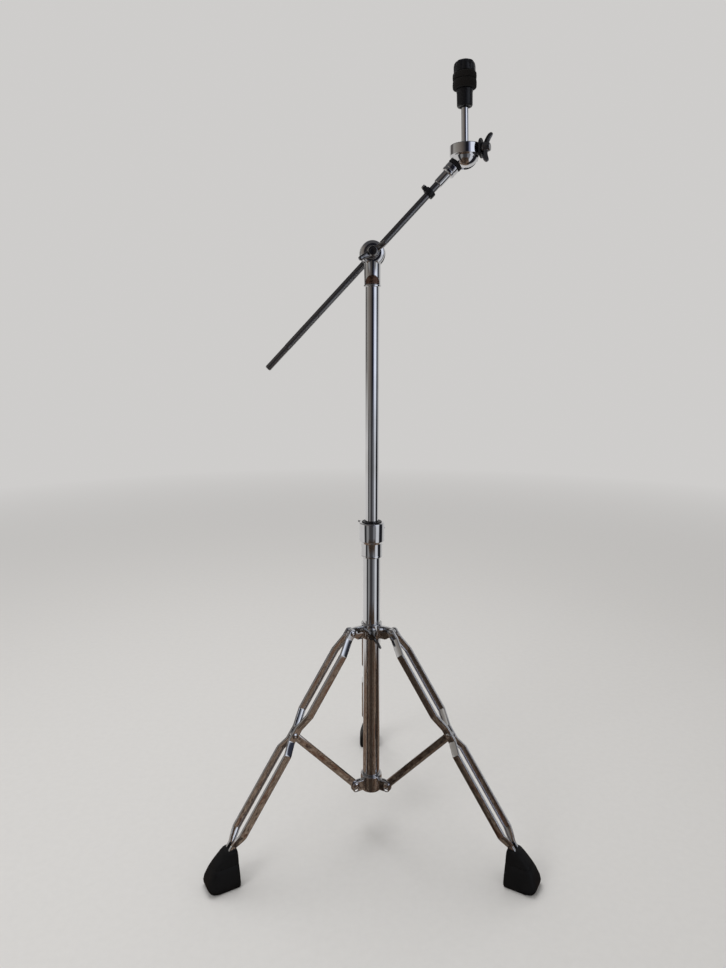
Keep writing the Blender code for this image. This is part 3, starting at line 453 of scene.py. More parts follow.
def knurled_metal(name):
    """Dark plate over knurling: bright worn crests and dark valleys."""
    s = Shader(name)
    height = s.add("ShaderNodeAttribute", attribute_name="crest").outputs["Fac"]
    grime = s.span(s.noise(60, 5), 0.35, 0.7)
    fine = s.noise(2200, 2)
    crest = s.span(height, 0.35, 0.95)
    colour = s.blend(crest, (0.10, 0.10, 0.105, 1), (0.62, 0.62, 0.64, 1))
    colour = s.blend(s.times(grime, 0.35), colour, (0.16, 0.15, 0.14, 1))
    level = s.plus(s.span(height, 0, 1, 0.34, 0.14), s.times(grime, 0.08))
    s.set(Base_Color=colour, Roughness=level, Metallic=1.0, Normal=s.bump(fine, 0.12, 0.00002))
    return s.material


def dull_black(name, base, dusty, rough, grain_scale, grain, shine, soft=0.0006):
    """Moulded black rubber or nylon: grained, a little dusty on top, and rubbed on its edges."""
    s = Shader(name)
    blotch = s.span(s.noise(45, 5), 0.35, 0.75)
    fine = s.noise(grain_scale, 3, 0.7)
    specks = s.cells(grain_scale * 0.6)
    rounded = s.soft_edges(soft)
    edge = s.edge_mask(rounded)
    normal = s.add("ShaderNodeNewGeometry").outputs["Normal"]
    up = s.add("ShaderNodeSeparateXYZ", {0: normal}).outputs[2]
    dust = s.times(s.span(up, 0.2, 1.0), s.span(s.noise(160, 6, 0.7), 0.5, 0.72))
    colour = s.blend(s.times(blotch, 0.6), base, [c * 1.7 for c in base[:3]] + [1])
    colour = s.blend(s.times(dust, 0.10), colour, dusty)
    colour = s.blend(s.times(edge, 0.12), colour, [c * 0.6 for c in dusty[:3]] + [1])
    level = s.span(blotch, 0, 1, rough * 0.85, rough * 1.12)
    level = s.plus(level, s.times(dust, 0.1))
    normal = s.bump(fine, grain, 0.00006, rounded)
    normal = s.bump(specks, grain * 0.6, 0.00004, normal)
    s.set(Base_Color=colour, Roughness=level, Metallic=0.0, Normal=normal, Specular_IOR_Level=shine)
    return s.material


def felt_material(name):
    """Pressed wool: matted fibres running round the pad, lint and a soft sheen."""
    s = Shader(name)
    fibres = s.noise(700, 8, 0.8, (1, 1, 2.2))
    tangle = s.noise(2600, 4, 0.8)
    clumps = s.noise(130, 5, 0.6)
    lint = s.span(s.noise(900, 6, 0.75), 0.66, 0.74)
    colour = s.blend(s.span(fibres, 0.3, 0.7), (0.0035, 0.003, 0.003, 1), (0.016, 0.014, 0.013, 1))
    colour = s.blend(s.times(lint, 0.25), colour, (0.06, 0.055, 0.05, 1))
    colour = s.blend(s.span(clumps, 0.4, 0.8, 0, 0.4), colour, (0.012, 0.011, 0.010, 1))
    normal = s.bump(fibres, 0.8, 0.00025)
    normal = s.bump(tangle, 0.6, 0.00012, normal)
    level = s.span(fibres, 0.3, 0.7, 0.86, 1.0)
    s.set(Base_Color=colour, Roughness=level, Metallic=0.0, Normal=normal)
    s.set(Sheen_Weight=0.04, Specular_IOR_Level=0.08)
    return s.material


MATERIALS = {
    "chrome": metal(
        "polished_chrome", (0.80, 0.80, 0.815, 1), (0.70, 0.695, 0.69, 1), 0.018, 0.04, 0.0004,
        (0.60, 0.57, 0.52, 1),
    ),
    "cast_chrome": metal(
        "cast_chrome", (0.74, 0.74, 0.755, 1), (0.62, 0.615, 0.61, 1), 0.035, 0.08, 0.0006,
        (0.55, 0.52, 0.47, 1),
    ),
    "dark_chrome": metal(
        "dark_chrome", (0.33, 0.33, 0.345, 1), (0.22, 0.215, 0.21, 1), 0.10, 0.12, 0.0006,
        (0.55, 0.54, 0.52, 1),
    ),
    # A copy of the chrome made darker to stand for the shade on the wing bolts and the tilter clamp: painted
    # shade, with lighter worn edges.
    "shaded_bolt_chrome": metal(
        "shaded_bolt_chrome", (0.27, 0.27, 0.28, 1), (0.14, 0.135, 0.13, 1), 0.10, 0.12, 0.0008,
        (0.62, 0.61, 0.60, 1),
    ),
    # Chrome mottled dark brown: a painted reflection of the rug, laid on the floor of the receiver's arch.
    "painted_rug_reflection": metal(
        "painted_rug_reflection", (0.10, 0.055, 0.042, 1), (0.34, 0.21, 0.15, 1), 0.30, 0.3, 0.0006,
        (0.05, 0.03, 0.025, 1), 330,
    ),
    "knurled": knurled_metal("knurled_plate"),
    "zinc_steel": metal(
        "zinc_plate", (0.50, 0.50, 0.51, 1), (0.40, 0.385, 0.35, 1), 0.22, 0.3, 0.0003,
        (0.30, 0.27, 0.23, 1),
    ),
    "black_rubber": dull_black(
        "moulded_rubber", (0.0065, 0.0065, 0.007, 1), (0.07, 0.064, 0.058, 1), 0.62, 900, 0.35, 0.18, 0.001
    ),
    "black_nylon": dull_black(
        "satin_nylon", (0.006, 0.006, 0.0075, 1), (0.05, 0.05, 0.052, 1), 0.38, 1500, 0.18, 0.3
    ),
    "black_felt": felt_material("pressed_felt"),
}


def shown(mesh, name, body, slot, material, angle):
    """Puts the mesh in the scene, shaded smooth, with a body's motion and a record slot."""
    mesh.transform(Matrix.Translation((0, TUBE_Y * MM, 0)))
    obj = bpy.data.objects.new(name, mesh)
    bpy.context.scene.collection.objects.link(obj)
    mesh.materials.clear()
    mesh.materials.append(MATERIALS[material or slot])
    for face in mesh.polygons:
        face.use_smooth = True
    mesh.set_sharp_from_angle(angle=math.radians(angle))
    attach(obj, body)
    return obj


def skin(mesh, node, material=None, angle=35):
    """Shows this mesh in place of a CAD node."""
    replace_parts(shown(mesh, node + "_skin", BODY_OF[node], SLOT_OF[node], material, angle), node)


def detail(mesh, name, body, slot, material):
    """A small extra piece that stands for no CAD node of its own."""
    shown(mesh, name, body, slot, material, 35)


# Shapes used more than once


def tube_profile(outer, inner, low, high):
    return [(outer, high, 0.5), (outer, low, 0.5), (inner, low, 0.3), (inner, high, 0.3)]


def wing(side, span, rise, thick):
    """One wing of a wing bolt: it leaves the hub, swells, and sweeps up to a round tip."""
    reach = span / 2
    path = [(0.0, 6.4), (0.22, 6.6), (0.42, 7.6), (0.6, 9.2), (0.76, 11.4), (0.88, 13.8), (0.96, 15.8)]
    half_heights = [4.3, 4.0, 3.7, 3.7, 3.7, 3.2, 1.9]
    thicknesses = [1.1, 0.9, 0.72, 0.66, 0.62, 0.56, 0.4]
    stations = []
    for index, (share, height) in enumerate(path):
        before = path[max(0, index - 1)]
        after = path[min(len(path) - 1, index + 1)]
        slope = Vector(((after[0] - before[0]) * reach, 0, (after[1] - before[1]) * rise / 17)).normalized()
        up = Vector((-slope.z * side, 0, slope.x))
        centre = (side * share * reach, 0, height * rise / 17)
        half_height = half_heights[index]
        if index == 0:
            up = Vector((0, 0, 1))
        stations.append((centre, (0, 1, 0), thick / 2 * thicknesses[index], up, half_height))
    mesh = loft(stations, 20, 2.8)
    return subdivided(mesh, 1)


def subdivided(mesh, levels):
    obj = as_object(mesh)
    modifier = obj.modifiers.new("smooth", "SUBSURF")
    modifier.levels = levels
    modifier.render_levels = levels
    bpy.context.view_layer.update()
    result = evaluated(obj)
    bpy.data.objects.remove(obj, do_unlink=True)
    return result


def wing_bolt_mesh(hub_radius, hub_height, span, rise, thick, shank_radius, shank, turn, bore=0.0):
    """A hub with two wings. The shank runs to -Z, or with a bore there is a hole instead."""
    hub = [
        (0, hub_height - 0.6),
        (hub_radius * 0.42, hub_height - 0.3),
        (hub_radius * 0.7, hub_height, 1.0),
        (hub_radius * 0.86, hub_height * 0.6, 3),
        (hub_radius, 2.2, 1.4),
        (hub_radius, 0, 0.4),
    ]
    if shank:
        hub += [
            (shank_radius, 0, 0.3), (shank_radius, -shank + 0.8, 0.3),
            (shank_radius - 0.8, -shank, 0.2), (0, -shank)
        ]
    else:
        hub += [(0, 0)]
    steps = [join(moved(wing(side, span, rise, thick), spin("Z", turn))) for side in (1, -1)]
    if bore:
        steps.append(cut(rod(bore, -5, hub_height - 2)))
    return combined(lathe(hub, 0.8, 64), *steps)


def rivet_mesh(grip):
    """A domed rivet along Z with a small dimple where it was set."""
    radius, head, rise = 2.5, 4.2, 1.6
    half = grip / 2
    top = [
        (0, half + rise - 0.35), (1.0, half + rise - 0.3, 0.3), (1.4, half + rise, 0.5),
        (head * 0.72, half + rise * 0.72, 1.6), (head, half + GAP + 0.25, 0.5), (head, half + GAP, 0.15),
        (radius, half + GAP, 0.1),
    ]
    bottom = [(point[0], -point[1], *point[2:]) for point in reversed(top)]
    return lathe(top + bottom, 0.3, 40)


# Upright


def build_upright():
    skin(lathe(tube_profile(BASE_R, BASE_R - TUBE_WALL, BASE_LOW, BASE_HIGH), 0.4), "base_tube")
    skin(lathe(tube_profile(UPPER_R, UPPER_R - TUBE_WALL, UPPER_LOW, UPPER_HIGH), 0.4), "upper_tube")
    inner = BASE_R - TUBE_WALL - GAP
    top = BASE_LOW - GAP
    plug = [
        (0, top + 6), (inner - 1, top + 8), (inner, top + 7, 0.5), (inner, top, 0.1), (BASE_R, top, 0.3),
        (BASE_R, top - 2, 0.8), (BASE_R - TUBE_WALL, top - 3, 0.8), (4, top - 3, 0.5), (3, top - 2),
        (0, top - 2),
    ]
    skin(lathe(plug), "tube_end_plug")
    bore = UPPER_R + GAP
    rim = BASE_R - 0.1
    lip = CLAMP_HIGH + 1.3
    seat, step, foot = CLAMP_HIGH + GAP, BASE_HIGH + GAP, CLAMP_LOW - 1
    bushing = [
        (rim + 1.0, lip, 0.4), (rim + 1.9, lip - 0.5, 0.3), (rim + 1.9, seat, 0.2), (rim, seat, 0.1),
        (rim, step, 0.1),
        (inner, step, 0.1), (inner, foot, 0.3), (bore, foot, 0.3), (bore, lip, 0.8),
    ]
    slit = block((6, 1.4, 20), (inner + 1, 0, foot + 9))
    skin(combined(lathe(bushing), cut(slit)), "height_bushing")
    build_height_clamp()


def build_height_clamp():
    """The stepped clamp, with a rolled foot, a split at the back and a boss for its wing bolt."""
    bore = BASE_R + GAP
    profile = [
        (17.0, CLAMP_HIGH, 1.0), (18.4, 498.2, 1.2), (18.4, 471.5, 1.2), (15.6, 468.2, 1.4), (15.3, 450, 0.6),
        (15.5, 449.4, 0.4), (15.5, 447.4, 0.5), (15.0, CLAMP_LOW, 0.3), (bore, CLAMP_LOW, 0.3),
        (bore, CLAMP_HIGH, 0.5),
    ]
    boss = lathe([(0, CLAMP_BOSS), (7.5, CLAMP_BOSS, 1.0), (7.5, 15, 0), (0, 15)], 0.5, 64)
    hole = rod(BOLT_HOLE, 8, 30)
    at = shift(0, 0, CLAMP_BOLT)
    body = combined(
        lathe(profile, 0.6),
        join(moved(boss, at, TO_BACK)),
        cut(moved(hole, at, TO_BACK)),
        cut(block((1.2, 12, 20), (0, 18, CLAMP_HIGH - 3))),
    )
    skin(body, "height_clamp")
    bolt = wing_bolt_mesh(BOLT_HUB, BOLT_HEIGHT, BOLT_SPAN, 17, 5.2, THREAD_R, CLAMP_BOSS - BASE_R, 15)
    skin(moved(bolt, shift(0, CLAMP_BOSS + GAP, CLAMP_BOLT), TO_BACK), "height_wing_bolt", "shaded_bolt_chrome")


# Tripod


def leg_offsets():
    """(distance from the middle pivot along the leg, offset of the bar's outer face)."""
    lug = LUG_HALF + GAP + BAR_DEPTH
    brace = BRACE_HALF + GAP + BAR_DEPTH
    end = LEG_LENGTH - MID
    return [
        (-12 - MID, lug), (10 - MID, lug, 5), (34 - MID, BAR_SPREAD, 6), (-35, BAR_SPREAD, 6),
        (-11, brace, 5),
        (9, brace, 5), (27, BAR_SPREAD, 6), (end - 40, BAR_SPREAD, 6), (end - 21, lug, 5), (end, lug),
    ]


def bar_half_height(along):
    """Half the bar's width in the leg plane, round at its top and narrow inside the foot."""
    from_top = along + MID
    if from_top < 0:
        return math.sqrt(max(BAR_HALF**2 - from_top**2, 0.4))
    from_end = LEG_LENGTH - from_top
    if from_end < 20:
        return BAR_TIP
    if from_end < 34:
        return BAR_HALF + (BAR_TIP - BAR_HALF) * (34 - from_end) / 14
    return BAR_HALF


def leg_bar(side):
    """A pressed channel bar: a web with crisp bends and two flanges, swept along the bar's line."""
    line = fillet(leg_offsets(), 5, 5)
    points = []
    for first, second in zip(line, line[1:]):
        first, second = Vector(first), Vector(second)
        count = max(1, int((second - first).length / 5))
        points += [first.lerp(second, step / count) for step in range(count)]
    points.append(Vector(line[-1]))
    points = [p for p in points if p.x > -MID - 1]
    angles = (4, 12, 24, 38, 52, 66, 78)
    round_end = [Vector((-MID - BAR_HALF * math.cos(math.radians(a)), points[0].y)) for a in angles]
    rings = []
    for point in round_end + points:
        section = channel_section(bar_half_height(point.x))
        rings.append([(point.x, side * (point.y - d), h) for d, h in section])
    return rings_mesh(rings)


def channel_section(half):
    """(depth, height) round a channel that opens inwards."""
    depth, sheet = BAR_DEPTH, BAR_SHEET
    inner = max(half - sheet, 0.3)
    outer = [(depth, half, 0.5), (0, half, 1.2), (0, -half, 1.2), (depth, -half, 0.5)]
    inside = [(depth, -inner, 0.4), (sheet, -inner, 0.9), (sheet, inner, 0.9), (depth, inner, 0.4)]
    return fillet(outer + inside, 0.5, 4, closed=True)


def foot_mesh():
    """The rubber boot in the leg plane: X outwards, Z up from the sole."""
    inner, outer = 223.0, 269.0
    stations = [
        (0.0, inner + 1.5, outer - 8.5, 15.8), (0.5, inner + 0.4, outer - 7.4, 17.0),
        (3, inner, outer - 2.6, 18.2),
        (7, inner, outer - 0.4, 18.7), (10, inner, outer - 0.1, 18.5), (17, inner, outer - 1.7, 17.5),
        (28, inner, outer - 6.3, 14.9), (33.2, inner, outer - 9.2, 13.6),
        (33.8, inner + 0.6, outer - 10.0, 12.8),
        (35.0, inner + 0.6, outer - 10.8, 12.6), (35.6, inner, outer - 10.8, 13.1),
        (39, inner, outer - 13.3, 12.5),
        (46, inner, outer - 19.5, 11.5), (50, inner + 0.2, outer - 23.5, 10.9),
        (53, inner + 0.8, outer - 26.8, 10.2),
        (54, inner + 2.0, outer - 28.4, 9.0),
    ]
    rings = []
    for z, low, high, half in stations:
        front = min(9.5, (high - low) * 0.42, half * 0.8)
        box = [(low, -half, 3.5), (high, -half, front), (high, half, front), (low, half, 3.5)]
        rings.append([(x, y, z) for x, y in fillet(box, 4.2, 8, closed=True)])
    return rings_mesh(rings)


def foot_treads():
    """Shallow grooves across the sole."""
    return [block((2.2, 26, 1.4), (x, 0, 0.0)) for x in range(231, 262, 6)]


def build_tripod():
    build_leg_collar()
    build_bottom_collar()
    for number in LEG_AZIMUTHS:
        line = leg_line(number)
        for side, word in ((1, "left"), (-1, "right")):
            skin(moved(leg_bar(side), line), f"leg_{number}_{word}_bar", angle=28)
        rivet = rivet_mesh(2 * (LUG_HALF + GAP + BAR_DEPTH))
        skin(moved(rivet, line, shift(-MID), TO_FRONT), f"leg_pivot_rivet_{number}")
        brace = brace_line(number)
        length = (MID_PIVOT - BRACE_PIVOT).length
        outline = arc((length, 0), 5.7, -90, 90, 16) + arc((0, 0), 5.7, 90, 270, 16)
        flat = combined(
            prism(outline, -BRACE_HALF, BRACE_HALF, 0.45),
            cut(rod(RIVET_HOLE, -5, 5)),
            cut(moved(rod(RIVET_HOLE, -5, 5), shift(length))),
        )
        skin(moved(flat, brace, UPRIGHT), f"brace_{number}")
        rivet = rivet_mesh(2 * (BRACE_HALF + GAP + BAR_DEPTH))
        skin(moved(rivet, brace, shift(length), TO_FRONT), f"brace_leg_rivet_{number}")
        pivot = leg_plane(number) @ shift(BRACE_PIVOT.x, 0, BRACE_PIVOT.y)
        rivet = rivet_mesh(2 * (BRACE_HALF + GAP + FORK_WALL))
        skin(moved(rivet, pivot, TO_FRONT), f"brace_pivot_rivet_{number}")
        boot = combined(foot_mesh(), *[cut(groove) for groove in foot_treads()])
        skin(moved(boot, leg_plane(number)), f"rubber_foot_{number}", angle=40)


def build_leg_collar():
    """The sliding collar: a rolled ring, three lugs, a boss and its wing bolt."""
    low, high = LEG_COLLAR
    outer = LEG_COLLAR_R
    bore = BASE_R + GAP
    ring = [(outer, high - 0.6, 0.9), (outer, low, 1.0), (bore, low, 0.4), (bore, high, 0.4)]
    ring = lathe(ring + [(outer - 0.8, high, 0.5)], 0.6)
    radius, height = LEG_PIVOT
    outline = [(outer - 1.5, low + 0.5, 0), (radius - 11, low + 0.5, 3)]
    outline += [(x, y, 0) for x, y in arc((radius, height), 5, -55, 80, 16)]
    outline += [(radius - 9, height + 6, 3), (outer - 1.5, height + 6, 0)]
    outline = fillet(outline, 0, 5, closed=True)
    steps = []
    for azimuth in LEG_AZIMUTHS.values():
        steps.append(join(moved(prism(outline, -LUG_HALF, LUG_HALF, 0.6), spin("Z", azimuth), UPRIGHT)))
    boss_end = outer + 5.4
    boss = lathe([(0, boss_end), (7, boss_end, 1.0), (7, 14, 0), (0, 14)], 0.5, 64)
    steps.append(join(moved(boss, shift(0, 0, LEG_BOLT), TO_FRONT)))
    for azimuth in LEG_AZIMUTHS.values():
        hole = moved(rod(RIVET_HOLE, -10, 10), spin("Z", azimuth), shift(radius, 0, height), TO_FRONT)
        steps.append(cut(hole))
    steps.append(cut(moved(rod(BOLT_HOLE, 9, 26), shift(0, 0, LEG_BOLT), TO_FRONT)))
    skin(combined(ring, *steps), "leg_collar", "cast_chrome")
    bolt = wing_bolt_mesh(BOLT_HUB, BOLT_HEIGHT, BOLT_SPAN, 17, 6.2, THREAD_R, boss_end - BASE_R, -50)
    skin(moved(bolt, shift(0, -boss_end - GAP, LEG_BOLT), TO_FRONT), "leg_collar_wing_bolt", "shaded_bolt_chrome")


def build_bottom_collar():
    """The fixed collar: a ring with three forked knuckles, slotted for the braces' rivets."""
    low, high = 70.0, 96.0
    bore = BASE_R + GAP
    ring = [(16.2, high, 2.2), (16.8, low + 4, 1.4), (15.6, low, 2.2), (bore, low, 0.4), (bore, high, 0.4)]
    ring = lathe(ring, 0.8)
    radius, level = BRACE_PIVOT
    lug_low = level - BRACE_DROP + 2.2
    end = 5.7
    outline = [(15, lug_low - end)] + arc((radius, lug_low), end, -90, 0, 14)
    outline += arc((radius, level), end, 0, 90, 14) + [(15, level + end)]
    centre = radius - 0.3
    wide = 2.5 + 0.75
    slot = arc((centre, level), wide, 0, 180, 16) + arc((centre, level - BRACE_DROP), wide, 180, 360, 16)
    fork = 2 * (BRACE_HALF + GAP)
    steps = []
    for azimuth in LEG_AZIMUTHS.values():
        lug = prism(outline, -fork / 2 - FORK_WALL, fork / 2 + FORK_WALL, 1.0)
        steps.append(join(moved(lug, spin("Z", azimuth), UPRIGHT)))
    for azimuth in LEG_AZIMUTHS.values():
        turn = spin("Z", azimuth)
        steps.append(cut(moved(block((30, fork, 40), (34.4, 0, level)), turn)))
        steps.append(cut(moved(prism(slot, -10, 10, 0), turn, UPRIGHT)))
    steps.append(cut(moved(rod(2.3, -30, 30), shift(0, 0, 83), ALONG_X)))
    skin(combined(ring, *steps), "bottom_collar", "cast_chrome")


# Boom tilter


def build_receiver():
    outer = 11.15
    bottom = RECEIVER_LOW - TILTER
    bore, roof = UPPER_R + GAP, bottom + 23 + GAP
    sleeve = [
        (0, -6), (outer, -6, 0.5), (outer, bottom + 2.8, 0.5), (outer + 0.7, bottom + 2.0, 0.4),
        (outer + 0.7, bottom, 0.4), (bore, bottom, 0.3), (bore, roof, 0.3), (0, roof),
    ]
    head = [
        (0, 10.4), (6.5, 10.6, 1), (7.5, 11, 0.5), (12, 11, 2.5), (15.6, 9, 2.5), (16.6, 6, 1.5),
        (16.6, -2.6, 0.5), (0, -2.6),
    ]
    arch = moved(prism(recess_outline(bottom), -9, 5, 0), shift(0, -outer, 0), UPRIGHT)
    arch = combined(arch, cut(rod(outer - 0.6, bottom - 10, 10, FINE)))
    body = combined(
        lathe(sleeve, 0.5),
        cut(block((60, 30, 30), (0, 17.6, -3))),
        join(moved(lathe(head, 0.6), TO_FRONT)),
        cut(moved(rod(BOLT_HOLE, -30, 30), TO_FRONT)),
        cut(moved(rod(7.2, -6, 10), TO_BACK)),
        cut(arch),
    )
    skin(moved(body, shift(0, 0, TILTER)), "boom_receiver")
    build_recess_floor(outer, bottom)


def recess_outline(bottom, inset=0.0):
    """The arch low on the front of the sleeve."""
    foot = bottom + 3.0 + inset
    width = 9.4 - inset
    return arc((0, bottom + 5.4), width, 0, 180, 24) + [(-width, foot), (width, foot)]


def build_recess_floor(outer, bottom):
    """The floor of the arch: chrome with a painted reflection of the rug, mottled dark brown."""
    arch = moved(prism(recess_outline(bottom, 0.15), -9, 5, 0), shift(0, -outer, 0), UPRIGHT)
    shell = [(outer - 0.3, bottom - 2), (outer - 0.3, 0), (outer - 0.58, 0), (outer - 0.58, bottom - 2)]
    floor = moved(combined(arch, ("INTERSECT", lathe(shell, 0))), shift(0, 0, TILTER))
    detail(floor, "receiver_recess", BODY_OF["boom_receiver"], "chrome", "painted_rug_reflection")


def build_tilter():
    radius, rear, front = 17.5, 24.0, 3.2
    disc = [
        (0, rear - 0.8), (7, rear - 0.8, 0.3), (8, rear, 0.5), (radius - 5, rear, 2),
        (radius - 0.6, rear - 6, 3),
        (radius, rear - 8, 1), (radius, front + 1.2, 0.6), (radius - 1, front, 0.4), (0, front),
    ]
    clamp = combined(
        lathe(disc, 0.6),
        cut(rod(7.5, 8.3, rear + 10)),
        cut(rod(BOLT_HOLE, -10, rear)),
        cut(moved(rod(BOOM_R + GAP, -40, 40), shift(0, 0, BOOM_SETBACK), ALONG_X)),
    )
    head = boom_head()
    skin(moved(clamp, head, TO_BACK), "tilter_clamp", "shaded_bolt_chrome")
    eye = [
        (0, rear - 0.4), (5.4, rear + 0.4, 1), (6.6, rear + 0.4, 0.6), (7.2, rear - 0.4, 0.5),
        (7.2, 8.6, 0.3),
        (THREAD_R, 8.6, 0.2), (THREAD_R, -25.2, 0.3), (THREAD_R - 0.8, -26, 0.2), (0, -26),
    ]
    hole = moved(rod(BOOM_R + GAP, -20, 20), shift(0, 0, BOOM_SETBACK), ALONG_X)
    eye = combined(lathe(eye, 0.3, 64), cut(hole))
    skin(moved(eye, head, TO_BACK), "tilter_eye_bolt")
    washer = lathe([(9, 13.1, 0.3), (9, 11.3, 0.3), (BOLT_HOLE, 11.3, 0.2), (BOLT_HOLE, 13.1, 0.2)], 0.3, 64)
    skin(moved(washer, shift(0, 0, TILTER), TO_FRONT), "tilter_washer")
    nut = wing_bolt_mesh(8.4, 15, 43, 18, 11, 0, 0, -15, bore=BOLT_HOLE)
    skin(moved(nut, head, shift(0, -13.4, 0), TO_FRONT), "tilter_wing_nut", "shaded_bolt_chrome")
    build_spring(head)


def build_spring(head):
    """The coil between the head and the clamp."""
    count, coils, radius, wire = 120, 3.5, 5.6, 0.6
    rings = []
    for step in range(count + 1):
        turn = 2 * math.pi * coils * step / count
        centre = Vector((radius * math.cos(turn), -4.9 + 6.5 * step / count, radius * math.sin(turn)))
        out = Vector((math.cos(turn), 0, math.sin(turn)))
        ring = []
        for angle in turns(10):
            ring.append(tuple(centre + out * wire * math.cos(angle) + Vector((0, wire * math.sin(angle), 0))))
        rings.append(ring)
    skin(moved(rings_mesh(rings), shift(0, 0, TILTER)), "tilter_spring")


# Boom


KNURLED = ((-172.0, -110.0), (-55.0, 96.0))
KNURL_STARTS = 20
KNURL_PITCH = 1.6


def knurl_height(u, angle):
    """1 on a crest of the diamond knurling and 0 in a valley."""
    turn = angle / (2 * math.pi) * KNURL_STARTS
    first = (turn + u / KNURL_PITCH) % 1
    second = (turn - u / KNURL_PITCH) % 1
    return 1 - max(abs(2 * first - 1), abs(2 * second - 1)) ** 2.0


def rod_radius(u):
    """The rod is a little thinner on its tail, past the knurling."""
    return 4.45 if u < KNURLED[0][0] else BOOM_R


def build_boom_rod():
    """The rod: smooth stretches, rolled diamond knurling between them, and a chamfered tail."""
    tail, head = ROD_TAIL, ROD_HEAD
    sides = 80
    stops = [tail, tail + 0.5, tail + 1.2]
    u = tail + 2
    while u < head:
        stops.append(u)
        inside = any(low - 0.5 <= u <= high + 0.5 for low, high in KNURLED)
        u += 0.4 if inside else 2.0
    stops.append(head)
    rings, crests = [], []
    for u in stops:
        base = rod_radius(u) - max(0.0, (tail + 1.2 - u) * 0.8)
        depth = 0.0
        for low, high in KNURLED:
            if low < u < high:
                depth = 0.26 * min(1, (u - low) / 1.5, (high - u) / 1.5)
        ring = []
        for angle in turns(sides):
            crest = knurl_height(u, angle) if depth else 0.55
            reach = base - depth * (1 - crest)
            ring.append((reach * math.cos(angle), reach * math.sin(angle), u))
            crests.append(crest)
        rings.append(ring)
    shape = rings_mesh(rings)
    attribute = shape.attributes.new("crest", "FLOAT", "POINT")
    attribute.data.foreach_set("value", crests)
    skin(moved(shape, boom_line(), ALONG_X), "boom_rod", "knurled", angle=60)


def build_boom_end():
    line = boom_line()
    ring = lathe([(7.75, 4, 0.9), (7.75, -4, 0.9), (BOOM_R + GAP, -4, 0.3), (BOOM_R + GAP, 4, 0.3)], 0.6)
    stop = combined(
        ring,
        join(moved(rod(3.4, 6.2, 10.5), spin("Y", -90))),
        cut(moved(rod(1.8, 3, 15), spin("Y", -90))),
        cut(block((1.0, 6, 12), (0, -7, 0))),
    )
    skin(moved(stop, line, shift(STOP_RING), ALONG_X), "boom_stop_ring")
    screw = [
        (0, 12.4), (1.2, 12.4, 0.1), (1.3, 13.0, 0.2), (2.7, 13, 0.4), (3, 12.4, 0.3), (3, 10.8, 0.2),
        (1.5, 10.8, 0.1), (1.5, BOOM_R + GAP, 0.2), (0, BOOM_R + GAP),
    ]

    def serrated(r, z, angle):
        return r - (0.18 * (0.5 + 0.5 * math.cos(16 * angle)) if r > 2.9 and z > 11 else 0)

    def flattened(r, z, angle):
        return r - (0.5 * (0.5 - 0.5 * math.cos(6 * angle)) if r > 6.2 and z > 19 else 0)

    screw = lathe(screw, 0.2, 48, serrated)
    skin(moved(screw, line, shift(STOP_RING)), "stop_ring_screw")
    sleeve = [
        (5.2, 0, 0.3), (5.6, 0, 0.3), (6.25, 1, 0.5), (6.25, 18.6, 0.3), (8.3, 18.4, 0.5), (9.3, 19.6, 0.5),
        (9.3, 22.6, 0.3), (8.9, 23.0, 0.2), (8.9, 24.0, 0.2), (9.3, 24.4, 0.3), (9.3, 30.2, 0.5),
        (8.5, 31.3, 0.5),
        (NECK + GAP, 31.3, 0.2), (NECK + GAP, 24.1, 0.1), (BOOM_R + GAP, 22.4, 0.1), (BOOM_R + GAP, 0, 0.1),
    ]
    skin(moved(lathe(sleeve, 0.3, FINE, flattened), line, shift(SOCKET), ALONG_X), "boom_end_socket")
    centre = BALL_ALONG - GASKET
    hollow = BOWL_R + GAP
    rim = math.degrees(math.acos(9.8 / hollow))
    hole = math.degrees(math.acos((NECK + GAP) / hollow))
    gasket = [(x, y, 0) for x, y in reversed(arc((0, centre), hollow, -rim, -hole, 8))]
    gasket += [(9.8, 3.2, 0.3), (9.35, 2.7, 0.3), (9.35, 2.2, 0.3), (9.8, 1.7, 0.3), (9.8, 0.4, 0.4)]
    gasket += [(9.3, 0, 0.4), (NECK + GAP, 0, 0.2)]
    skin(moved(lathe(gasket, 0.4), line, shift(GASKET), ALONG_X), "boom_end_gasket")
    reach = math.sqrt(BALL_R**2 - NECK**2)
    begin = math.degrees(math.atan2(-reach, NECK))
    foot = NECK_START - BALL_ALONG
    ball = [(0, BALL_R)] + arc((0, 0), BALL_R, 84, begin, 24)
    ball += [(NECK, foot + 0.5), (NECK - 0.5, foot), (0, foot)]
    skin(moved(lathe(ball, 0, 64), line, shift(BALL_ALONG), ALONG_X), "tilter_ball")


# Cymbal tilter


